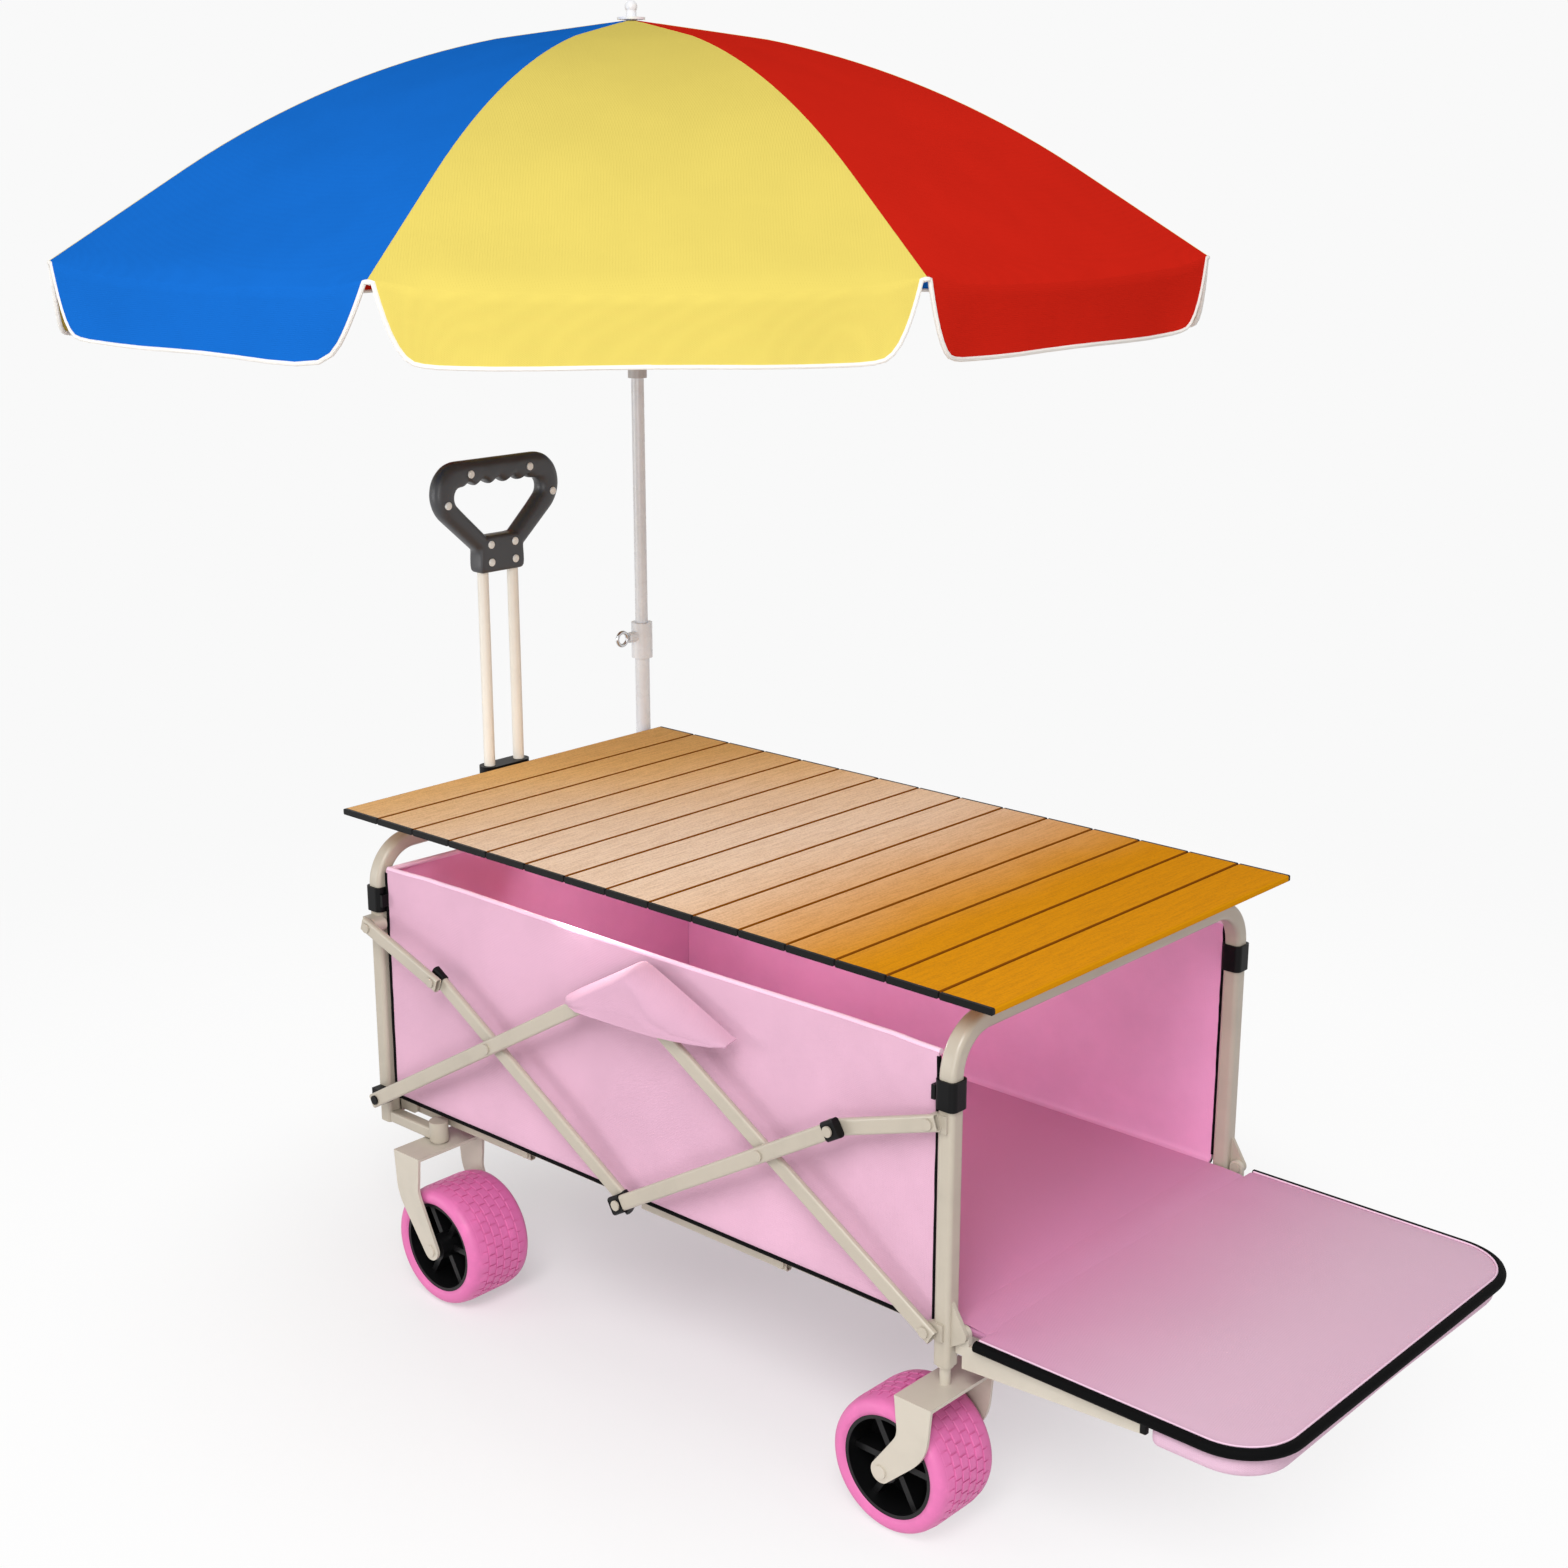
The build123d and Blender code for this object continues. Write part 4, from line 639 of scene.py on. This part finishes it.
def body_point(x, y, z):
    """Slack and creases of the side walls at a point of the flat form."""
    along = math.sin(math.pi * (x + BODY_END) / (2 * BODY_END))
    out = abs(x) / BODY_END
    height = (z - BODY_LOW) / (BODY_TOP - BODY_LOW)
    side = smoothstep((abs(y) - SIDE_FROM) / SIDE_BAND)
    lean = -WALL_LEAN * (1 - out ** LEAN_POWER) * smoothstep(height / LEAN_RISE)
    crease = CREASE * noise.noise(Vector((x * 6.0, y * 2.0 + 3.0, z * 5.0)))
    pull = PULL * math.sin(PULLS * (height + out * PULL_SLANT)) * height
    pull *= smoothstep((abs(x) - PULL_FROM) / PULL_BAND)
    droop = RIM_DROOP * along * height ** 3
    return Vector((x, y - math.copysign((lean + crease + pull) * side, y), z - droop * side))


def front_point(y, z):
    """Slack of the front wall at a point of the flat form."""
    middle = math.cos(math.pi * y / (2 * BODY_Y))
    bulge = FRONT_CREASE * noise.noise(Vector((4.0, y * 6.0, z * 5.0))) + FRONT_BELLY * middle
    return (-BODY_END + FRONT_IN + bulge, y, z - FRONT_DROOP * middle * smoothstep((z - 0.4) / 0.15))


def wall_profile():
    """Section of the left wall from its rim down, round the corner to the floor."""
    profile = [(-BODY_Y, z) for z in reversed(spread(BODY_LOW + BODY_CORNER, BODY_TOP, 22))]
    for a in spread(0.0, math.pi / 2, 6)[1:]:
        inward, up = BODY_CORNER * (1 - math.cos(a)), BODY_CORNER * (1 - math.sin(a))
        profile.append((-BODY_Y + inward, BODY_LOW + up))
    return profile


def fabric_body():
    """Two side walls and the front wall, with piping along the rim, its pale colour partly a painted
    highlight, and dark binding at the other edges.
    """
    profile = wall_profile()
    stations = spread(-BODY_END, BODY_END, 64)
    front_y = spread(-BODY_Y + FRONT_TRIM, BODY_Y - FRONT_TRIM, 30)
    front = [[front_point(y, z) for y in front_y] for z in spread(BODY_LOW + FRONT_FOOT, BODY_TOP, 20)]
    sheet = Builder()
    sheet.grid([[body_point(x, y, z) for y, z in profile] for x in stations], 0)
    sheet.grid([[body_point(x, -y, z) for y, z in profile] for x in stations], 0, flip=True)
    sheet.grid(front, 0, flip=True)
    obj = sheet.build("fabric_body", [PALE, DEEP], 60)
    thicken(obj, WALL, 1.0, 1, 60.0)
    trim = Builder()
    for y in (-BODY_Y, BODY_Y):
        to_rim = Vector((0, -math.copysign(WALL / 2, y), RIM_PIPE_UP))
        trim.tube([body_point(x, y, BODY_TOP) + to_rim for x in stations], RIM_PIPE_R, 0, 10)
        to_end = Vector((0, math.copysign(END_BIND_OUT, y), 0))
        for x in (-BODY_END, BODY_END):
            upright = spread(BODY_LOW + BODY_CORNER, BODY_TOP - 0.004, 18)
            trim.tube([body_point(x, y, z) + to_end for z in upright], END_BIND_R, 1, 8)
        to_foot = Vector((0, math.copysign(0.0002, y), -0.003))
        trim.tube([body_point(x, y, BODY_LOW + 0.006) + to_foot for x in stations], FOOT_BIND_R, 1, 8)
    trim.tube([(x + WALL / 2, y, z + RIM_PIPE_UP) for x, y, z in front[-1]], RIM_PIPE_R, 0, 10)
    edge = trim.build("fabric_body_trim", [PIPING_HIGHLIGHT, BINDING])
    for piece in (obj, edge):
        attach(piece, "front")
        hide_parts("liner")
        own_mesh(piece)


fabric_body()


# Floor, in four lengths

MAT_LOW, MAT_TOP = 0.2474, 0.2556
MAT_HALF = 0.2732
RAIL_ROOT, RAIL_KNEE = 0.4550, 0.2275
MAT_SPLIT = RAIL_KNEE + 0.020
MAT_FRONT, MAT_REAR, MAT_GAP = -0.4690, 0.5008, 0.0001
MAT_RIPPLE, MAT_RIPPLES = 0.0004, 7.0


def floor_mat(name, near, far):
    """One length of the floor, cloth and mat together."""
    middle = (MAT_LOW + MAT_TOP) / 2

    def place(x, y):
        return (x, y, middle + MAT_RIPPLE * noise.noise(Vector((x * MAT_RIPPLES, y * MAT_RIPPLES, 5.0))))

    across = spread(-MAT_HALF, MAT_HALF, 26)
    mat = Builder()
    mat.grid([[place(x, y) for y in across] for x in spread(near, far, 48)], 0, flip=True)
    obj = mat.build(name, [FLOOR], 60)
    thicken(obj, MAT_TOP - MAT_LOW - 2 * MAT_RIPPLE, 0.0, 0, 60.0)
    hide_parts("liner")
    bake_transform(obj)


floor_mat("floor_mat_front", MAT_FRONT, -MAT_SPLIT)
floor_mat("floor_mat_front_middle", -MAT_SPLIT, -MAT_GAP)
floor_mat("floor_mat_rear_middle", MAT_GAP, MAT_SPLIT)
floor_mat("floor_mat_pad", MAT_SPLIT, MAT_REAR)


# Covers over the ridge joints

COVER_WALL, COVER_FACE = 0.2965, 0.3300      # distance from the middle: at the wall, and over the bars
COVER_LEAST, COVER_SLACK, COVER_CLOTH = 0.12, 0.0018, 0.0016
COVER_STEPS = 8


def ridge_cover(side, name):
    """Flap sewn to the wall along two sloping edges, lifted over the bars and open below."""
    upper = [(-0.098, 0.5040), (-0.084, 0.5125), (-0.062, 0.5250), (-0.040, 0.5375), (-0.016, 0.5512),
             (0.006, 0.5640), (0.020, 0.5725), (0.031, 0.5765), (0.044, 0.5735), (0.068, 0.5640),
             (0.100, 0.5505), (0.132, 0.5370), (0.160, 0.5250), (0.180, 0.5165)]
    lower = [(-0.094, 0.4985), (-0.080, 0.4975), (-0.060, 0.4965), (-0.038, 0.4968), (-0.014, 0.4975),
             (0.008, 0.4982), (0.022, 0.4986), (0.033, 0.4990), (0.046, 0.4994), (0.070, 0.5004),
             (0.102, 0.5018), (0.132, 0.5034), (0.158, 0.5056), (0.177, 0.5110)]
    rows = []
    for (ux, uz), (lx, lz) in zip(upper, lower):
        reach = smoothstep((ux + 0.120) / 0.050) * (1 - 0.45 * smoothstep((ux - 0.06) / 0.12))
        lift = (COVER_FACE - COVER_WALL) * max(COVER_LEAST, reach)
        front = COVER_WALL + lift
        drop = min(0.018 + 0.034 * smoothstep((ux - 0.02) / 0.08), 0.8 * (uz - lz))
        row = []
        for k in range(COVER_STEPS + 1):
            t = k / COVER_STEPS
            y = COVER_WALL + lift * math.sin(math.pi / 2 * t) ** 0.9
            row.append(Vector((ux, side * y, uz - drop * t ** 1.3)))
        for k in range(1, COVER_STEPS + 1):
            t = k / COVER_STEPS
            slack = COVER_SLACK * math.sin(math.pi * t) * noise.noise(Vector((ux * 14, side, t * 2.0)))
            x, z = ux * (1 - t) + lx * t, (uz - drop) * (1 - t) + lz * t
            row.append(Vector((x, side * (front + slack), z)))
        rows.append(row)
    sheet = Builder()
    sheet.grid(rows, 0, flip=side > 0)
    obj = sheet.build(name, [FLAP_SHADED], 70)
    thicken(obj, COVER_CLOTH)
    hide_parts("brace_covers")
    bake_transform(obj)


ridge_cover(-1, "ridge_cover_left")
ridge_cover(1, "ridge_cover_right")


# Tailgate

GATE_X, GATE_FAR, GATE_HALF, GATE_LOW, GATE_TOP = 0.5055, 0.9005, 0.2970, 0.2440, 0.2560
GATE_ROUND = 0.068
BIND_IN = 0.0085                             # width of the binding outside the pad
PAD_FAR, PAD_HALF = GATE_FAR - BIND_IN, GATE_HALF - BIND_IN
NOTCH_X, NOTCH_HALF = 0.5315, 0.270          # cut-outs beside the hinge ears
POUCH_X, POUCH_FAR, POUCH_HALF = 0.7570, 0.8860, 0.2890
POUCH_LOW, POUCH_TOP = 0.2200, 0.2444
PIPE_IN, PIPE_R = 0.0022, 0.0012
BINDING_SECTION = [(0.0010, 0.0003), (0.0040, 0.0000), (0.0068, 0.0014), (0.0083, 0.0042), (0.0085, 0.0074),
                   (0.0072, 0.0104), (0.0045, 0.0121), (0.0012, 0.0125), (-0.0012, 0.0112), (-0.0012, 0.0010)]
ARM_CAP_X, ARM_CAP_Y, ARM_CAP_Z, ARM_CAP_BEVEL = (0.7450, 0.7535), (0.2811, 0.2881), (0.2290, 0.2437), 0.0012
HINGE_X, HINGE_HALF = (0.4780, 0.5300), 0.2690
HINGE_ARCH, HINGE_SINK, HINGE_CLOTH = 0.0020, 0.0018, 0.0006


def gate_pad():
    """Padded panel with the pouch under its outer half."""
    hinge_side = [(GATE_X, NOTCH_HALF, 0.002), (NOTCH_X, NOTCH_HALF, 0.002), (NOTCH_X, PAD_HALF, 0.004)]
    right = hinge_side + [(PAD_FAR, PAD_HALF, GATE_ROUND)]
    corners = [(x, -y, r) for x, y, r in right] + list(reversed(right))
    pad = Builder()
    pad.slab(densify(rounded(corners), 0.02), GATE_LOW + 0.0006, GATE_TOP - 0.0012, 0.004, crown=0.0010,
             rings=10, wrinkle=0.0010)
    pouch = [(POUCH_X, -POUCH_HALF, 0.012), (POUCH_FAR, -POUCH_HALF, 0.060), (POUCH_FAR, POUCH_HALF, 0.060),
             (POUCH_X, POUCH_HALF, 0.012)]
    pad.slab(densify(rounded(pouch), 0.02), POUCH_LOW, POUCH_TOP, 0.009, belly=0.0040, rings=8, wrinkle=0.002)
    return pad.build("tailgate_pad", [FLOOR], 50)


def gate_edge(start, inset, corner):
    """Line round the outer three sides of the panel, at an inset from the pad's edge."""
    far, half = PAD_FAR - inset, PAD_HALF - inset
    return rounded([(start, -half, 0), (far, -half, corner), (far, half, corner), (start, half, 0)], 16)


def tailgate():
    """Pad, binding with a pale line that is piping partly coloured as a painted highlight, end caps of the
    arms, and the cloth across the hinge.
    """
    obj = gate_pad()
    trim = Builder()
    trim.band([(x, y, GATE_LOW) for x, y in gate_edge(NOTCH_X + 0.0015, 0.0, GATE_ROUND)], BINDING_SECTION, 0)
    # The pale line is piping whose light colour is partly a painted highlight along the binding's inner edge.
    line = gate_edge(NOTCH_X + 0.004, PIPE_IN, 0.066)
    trim.tube([(x, y, GATE_TOP - 0.0002) for x, y in line], PIPE_R, 1, 8)
    edge = trim.build("tailgate_binding", [BINDING, PIPING_HIGHLIGHT], 50)
    caps = Builder()
    for side in (-1, 1):
        y0, y1 = sorted(side * y for y in ARM_CAP_Y)
        caps.block((ARM_CAP_X[0], y0, ARM_CAP_Z[0]), (ARM_CAP_X[1], y1, ARM_CAP_Z[1]), ARM_CAP_BEVEL)
    ends = caps.build("tailgate_arm_caps", [BLACK])
    for piece, slot in ((obj, "pink_fabric"), (edge, "pink_fabric"), (ends, "black_plastic")):
        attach(piece, "tailgate")
    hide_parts("tailgate_panel")
    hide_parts("tailgate_panel")
    near, last = HINGE_X
    rows = []
    for x in spread(near, last, 16):
        lift = HINGE_ARCH * math.sin(math.pi * (x - near) / (last - near)) - HINGE_SINK
        rows.append([(x, y, GATE_TOP + lift) for y in spread(-HINGE_HALF, HINGE_HALF, 24)])
    strip = Builder()
    strip.grid(rows, 0, flip=True)
    hinge = strip.build("tailgate_hinge_cloth", [FLOOR], 70)
    thicken(hinge, HINGE_CLOTH, 1.0)
    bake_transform(hinge)


tailgate()


# Handle grip

def outline_reach(outline, centre, angle):
    """Distance from a centre to a closed outline along a direction."""
    d = Vector((math.cos(angle), math.sin(angle)))
    best = 0.0
    for i, p in enumerate(outline):
        a = Vector(p) - centre
        e = Vector(outline[(i + 1) % len(outline)]) - Vector(p)
        cross = d.x * e.y - d.y * e.x
        if abs(cross) < 1e-12:
            continue
        t = (a.x * e.y - a.y * e.x) / cross
        u = (a.x * d.y - a.y * d.x) / cross
        if -1e-9 <= u <= 1 + 1e-9:
            best = max(best, t)
    return best


GRIP_X, GRIP_HALF = -0.560, 0.014            # middle plane and half thickness
GRIP_CENTRE = Vector((0.0, 1.026))
GRIP_STEPS, GRIP_SIDES = 220, 28
FINGER_PITCH, FINGER_DEEP = 0.0264, 0.0032
SCREW_PLACES = ((0.054, 1.079), (0.096, 1.040), (0.022, 0.977), (0.022, 0.952))
SCREW_RINGS = ((-0.0010, 0.0055), (0.0012, 0.0055), (0.0019, 0.0048), (0.0022, 0.0030), (0.0022, 0.0012))
SCREW_SIDES = 20


def both_sides(right, steps, gap):
    """Outline from the corners of its right half."""
    return densify(rounded(right + [(-y, z, r) for y, z, r in reversed(right)], steps), gap)


def finger_wave(y, z):
    """Lifts the top edge of the hand hole into finger waves."""
    if z > 1.058 and abs(y) < 0.066:
        fade = 1 - smoothstep((abs(y) - 0.046) / 0.02)
        z += FINGER_DEEP * (1 + math.cos(2 * math.pi * y / FINGER_PITCH)) * fade
    return (y, z)


def signed_power(value, power):
    return math.copysign(abs(value) ** power, value)


def grip_loop():
    """Closed loop with a rounded section, finger waves under the bar and a square neck round the rods."""
    outer = both_sides([(0.106, 1.097, 0.042), (0.117, 1.034, 0.048), (0.040, 0.967, 0.012),
                        (0.040, 0.937, 0.006)], 16, 0.006)
    hole = both_sides([(0.072, 1.061, 0.010), (0.084, 1.045, 0.016), (0.024, 0.989, 0.012)], 12, 0.003)
    hole = [finger_wave(y, z) for y, z in hole]
    rows = []
    for k in range(GRIP_STEPS + 1):
        angle = 2 * math.pi * (k % GRIP_STEPS) / GRIP_STEPS
        d = Vector((math.cos(angle), math.sin(angle)))
        far, near = outline_reach(outer, GRIP_CENTRE, angle), outline_reach(hole, GRIP_CENTRE, angle)
        neck = smoothstep((-d.y - 0.80) / 0.10)
        power = 2 / (2.5 + 4.0 * neck)
        row = []
        for j in range(GRIP_SIDES):
            a = 2 * math.pi * j / GRIP_SIDES
            r = (far + near) / 2 + (far - near) / 2 * signed_power(math.cos(a), power)
            x = GRIP_X + GRIP_HALF * signed_power(math.sin(a), power)
            row.append((x, GRIP_CENTRE.x + d.x * r, GRIP_CENTRE.y + d.y * r))
        rows.append(row)
    loop = Builder()
    loop.grid(rows, 0, wrap=True)
    return loop.build("rounded_grip", [GRIP], 50)


def screw_heads():
    """Domed heads on the face of the grip that looks to the rear."""
    turns = [2 * math.pi * k / SCREW_SIDES for k in range(SCREW_SIDES)]
    face = GRIP_X + GRIP_HALF
    heads = Builder()
    for y, z in SCREW_PLACES:
        for side in (-1, 1):
            rings = [[(face + x, side * y + r * math.cos(a), z + r * math.sin(a)) for a in turns]
                     for x, r in SCREW_RINGS]
            heads.grid(rings, 0, wrap=True)
            heads.faces.append(tuple(range(len(heads.points) - SCREW_SIDES, len(heads.points))))
            heads.kinds.append(0)
    return heads.build("grip_screw_heads", [WHITE_PLASTIC], 40)


def grip():
    for piece in (grip_loop(), screw_heads()):
        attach(piece, "handle_rods")
        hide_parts("handle_grip")


grip()


# Tyres

TYRE_R, TREAD_R, TREAD_HALF = 0.0825, 0.0811, 0.039
TYRE_SEGMENTS = 96
ROWS, BLOCKS = 6, 34
GAP_ROUND, GAP_ACROSS = 0.0011, 0.0009       # half the gaps between tread blocks
BLOCK_BEVEL, BLOCK_ROOT, EDGE_DROP = 0.0006, 0.0006, 0.0012
TYRE_PROFILE = [(0.0620, 0.0462), (0.0640, 0.0484), (0.0668, 0.0498), (0.0700, 0.0500), (0.0730, 0.0495),
                (0.0760, 0.0480), (0.0785, 0.0455), (0.0800, 0.0425), (TREAD_R, TREAD_HALF),
                (TREAD_R, 0.0200), (TREAD_R, 0.0060)]


def tread_block(build, row, first_angle, last_angle):
    """One raised block of the tread, lower at the tyre's shoulders."""
    pitch = 2 * TREAD_HALF / ROWS
    y0 = -TREAD_HALF + row * pitch + GAP_ACROSS
    y1 = y0 + pitch - 2 * GAP_ACROSS
    low = TREAD_R - BLOCK_ROOT
    r0 = TYRE_R - (EDGE_DROP if row == 0 else 0.0)
    r1 = TYRE_R - (EDGE_DROP if row == ROWS - 1 else 0.0)
    section = [(low, y0), (r0 - BLOCK_BEVEL, y0), (r0, y0 + BLOCK_BEVEL), (r1, y1 - BLOCK_BEVEL),
               (r1 - BLOCK_BEVEL, y1), (low, y1)]
    angles = spread(first_angle, last_angle, 5)
    start, size = len(build.points), len(section)
    build.grid([[(r * math.cos(a), y, r * math.sin(a)) for r, y in section] for a in angles], 0, flip=True)
    last = len(build.points) - 1
    build.faces += [tuple(range(start, start + size)), tuple(range(last, last - size, -1))]
    build.kinds += [0, 0]


def tyre_mesh():
    """Tyre round the Y axis: a turned body with staggered rows of tread blocks."""
    profile = TYRE_PROFILE + [(r, -y) for r, y in reversed(TYRE_PROFILE)]
    build = Builder()
    rows = []
    for i in range(TYRE_SEGMENTS + 1):
        a = 2 * math.pi * (i % TYRE_SEGMENTS) / TYRE_SEGMENTS
        rows.append([(r * math.cos(a), y, r * math.sin(a)) for r, y in profile])
    build.grid(rows)
    step = 2 * math.pi / BLOCKS
    gap = GAP_ROUND / TYRE_R
    for row in range(ROWS):
        for k in range(BLOCKS):
            place = k + 0.5 * (row % 2)
            tread_block(build, row, place * step + gap, (place + 1) * step - gap)
    form = build.build("tyre_form", [TYRE], 35)
    mesh = form.data
    bpy.data.objects.remove(form)
    return mesh


tyre_data = tyre_mesh()
for end in ("front", "rear"):
    for side in ("left", "right"):
        low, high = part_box(f"tyre_{end}_{side}")
        obj = bpy.data.objects.new(f"treaded_tyre_{end}_{side}", tyre_data)
        scene.collection.objects.link(obj)
        obj.location = (low + high) / 2
        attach(obj, f"wheel_{end}_{side}")
        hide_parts(f"tyre_{end}_{side}")


# Stage, light and camera

WORLD_TINT, WORLD_STRENGTH = (1.0, 0.99, 0.98, 1.0), 0.52
BACKDROP = srgb(249, 249, 249)
FLOOR_HALF = 6
FLOOR_COLOUR, FLOOR_WHITE = srgb(240, 240, 240), srgb(254, 254, 254)
SHADE_OFFSET = (0.08, 0.0, 0.0)
SHADE_R, OPEN_R = 0.25, 1.0                  # the shadow is full inside the first, faint past the second
SHADE_SHARE, OPEN_SHARE = 0.38, 0.56         # plain white under the cart, and what is added to it outside
FADE_FROM, FADE_FULL = 1.2, 2.6              # the floor runs out into the backdrop
LAMP_AIM = (0.0, 0.0, 0.5)


def backdrop_seen(tree):
    """1 for rays that see the backdrop: straight, mirrored or through glass."""
    path = tree.nodes.new("ShaderNodeLightPath")
    seen = path.outputs["Is Camera Ray"]
    for extra in ("Is Glossy Ray", "Is Transmission Ray"):
        add = tree.nodes.new("ShaderNodeMath")
        add.operation = "MAXIMUM"
        tree.links.new(seen, add.inputs[0])
        tree.links.new(path.outputs[extra], add.inputs[1])
        seen = add.outputs[0]
    return seen


def studio_world():
    """Soft light on the object, and a plain backdrop behind it."""
    world = bpy.data.worlds.new("studio")
    scene.world = world
    world.use_nodes = True
    tree = world.node_tree
    light = tree.nodes["Background"]
    light.inputs["Color"].default_value = WORLD_TINT
    light.inputs["Strength"].default_value = WORLD_STRENGTH
    pale = tree.nodes.new("ShaderNodeBackground")
    pale.inputs["Color"].default_value = BACKDROP
    pale.inputs["Strength"].default_value = 1.0
    choose = tree.nodes.new("ShaderNodeMixShader")
    tree.links.new(backdrop_seen(tree), choose.inputs[0])
    tree.links.new(light.outputs[0], choose.inputs[1])
    tree.links.new(pale.outputs[0], choose.inputs[2])
    tree.links.new(choose.outputs[0], tree.nodes["World Output"].inputs["Surface"])


def floor_material():
    """Pale floor that keeps the shadow under the cart and fades into the backdrop."""
    s = Shader("floor_white")
    s.set(Base_Color=FLOOR_COLOUR, Roughness=0.9, Specular_IOR_Level=0.0)
    place = s.coords.outputs["Object"]

    def distance(vector):
        return s.node("ShaderNodeVectorMath", {"operation": "LENGTH"}, Vector=vector).outputs["Value"]

    def mixed(share, first, second):
        node = s.node("ShaderNodeMixShader")
        for socket, value in zip(node.inputs, (share, first, second)):
            s.tree.links.new(value, socket)
        return node.outputs[0]

    plain = s.node("ShaderNodeEmission", Color=FLOOR_WHITE, Strength=1.0).outputs[0]
    clear = s.node("ShaderNodeBsdfTransparent").outputs[0]
    spot = s.node("ShaderNodeMapping", Vector=place, Location=SHADE_OFFSET).outputs[0]
    open_floor = s.math("MULTIPLY", s.ramp(distance(spot), SHADE_R, OPEN_R), OPEN_SHARE)
    share = s.math("MULTIPLY", backdrop_seen(s.tree), s.math("ADD", open_floor, SHADE_SHARE))
    lit = mixed(share, s.bsdf.outputs[0], plain)
    faded = mixed(s.ramp(distance(place), FADE_FROM, FADE_FULL), lit, clear)
    s.tree.links.new(faded, s.tree.nodes["Material Output"].inputs["Surface"])
    return s.material


studio_world()
floor_mesh = bpy.data.meshes.new("floor")
floor_corners = [(-FLOOR_HALF, -FLOOR_HALF, 0), (FLOOR_HALF, -FLOOR_HALF, 0), (FLOOR_HALF, FLOOR_HALF, 0),
                 (-FLOOR_HALF, FLOOR_HALF, 0)]
floor_mesh.from_pydata(floor_corners, [], [(0, 1, 2, 3)])
floor_mesh.materials.append(floor_material())
floor = bpy.data.objects.new("floor", floor_mesh)
scene.collection.objects.link(floor)


def area_light(name, place, aim, size, power, height=None):
    """A square lamp, or an oblong one where a height is given."""
    data = bpy.data.lights.new(name, "AREA")
    data.shape = "RECTANGLE"
    data.size = size
    data.size_y = height or size
    data.energy = power
    obj = bpy.data.objects.new(name, data)
    scene.collection.objects.link(obj)
    obj.location = place
    obj.rotation_euler = (Vector(aim) - Vector(place)).to_track_quat("-Z", "Y").to_euler()


area_light("key", (1.8, -2.8, 3.6), LAMP_AIM, 2.0, 125)
area_light("fill", (2.8, -3.4, 1.0), LAMP_AIM, 1.2, 36)
area_light("left", (-2.4, -3.0, 0.8), LAMP_AIM, 1.2, 26)
area_light("inside", (-0.22, -0.21, 0.622), (0.12, 0.28, 0.36), 0.26, 1.95, 0.04)

AZIMUTH, ELEVATION, DISTANCE = math.radians(42.15), math.radians(15.87), 2.984
AIM = Vector((-0.0497, 0.0402, 0.7105))
PHOTO, FOCAL = 1568.0, 2277.0                # side of the photo and focal length, in its pixels
SENSOR = 36.0
camera = bpy.data.objects.new("camera", bpy.data.cameras.new("camera"))
scene.collection.objects.link(camera)
flat = math.cos(ELEVATION)
direction = Vector((math.sin(AZIMUTH) * flat, -math.cos(AZIMUTH) * flat, math.sin(ELEVATION)))
camera.location = AIM + DISTANCE * direction
camera.rotation_euler = (-direction).to_track_quat("-Z", "Y").to_euler()
camera.data.sensor_width = SENSOR
camera.data.lens = FOCAL / PHOTO * SENSOR
camera.data.clip_end = 50.0
scene.camera = camera
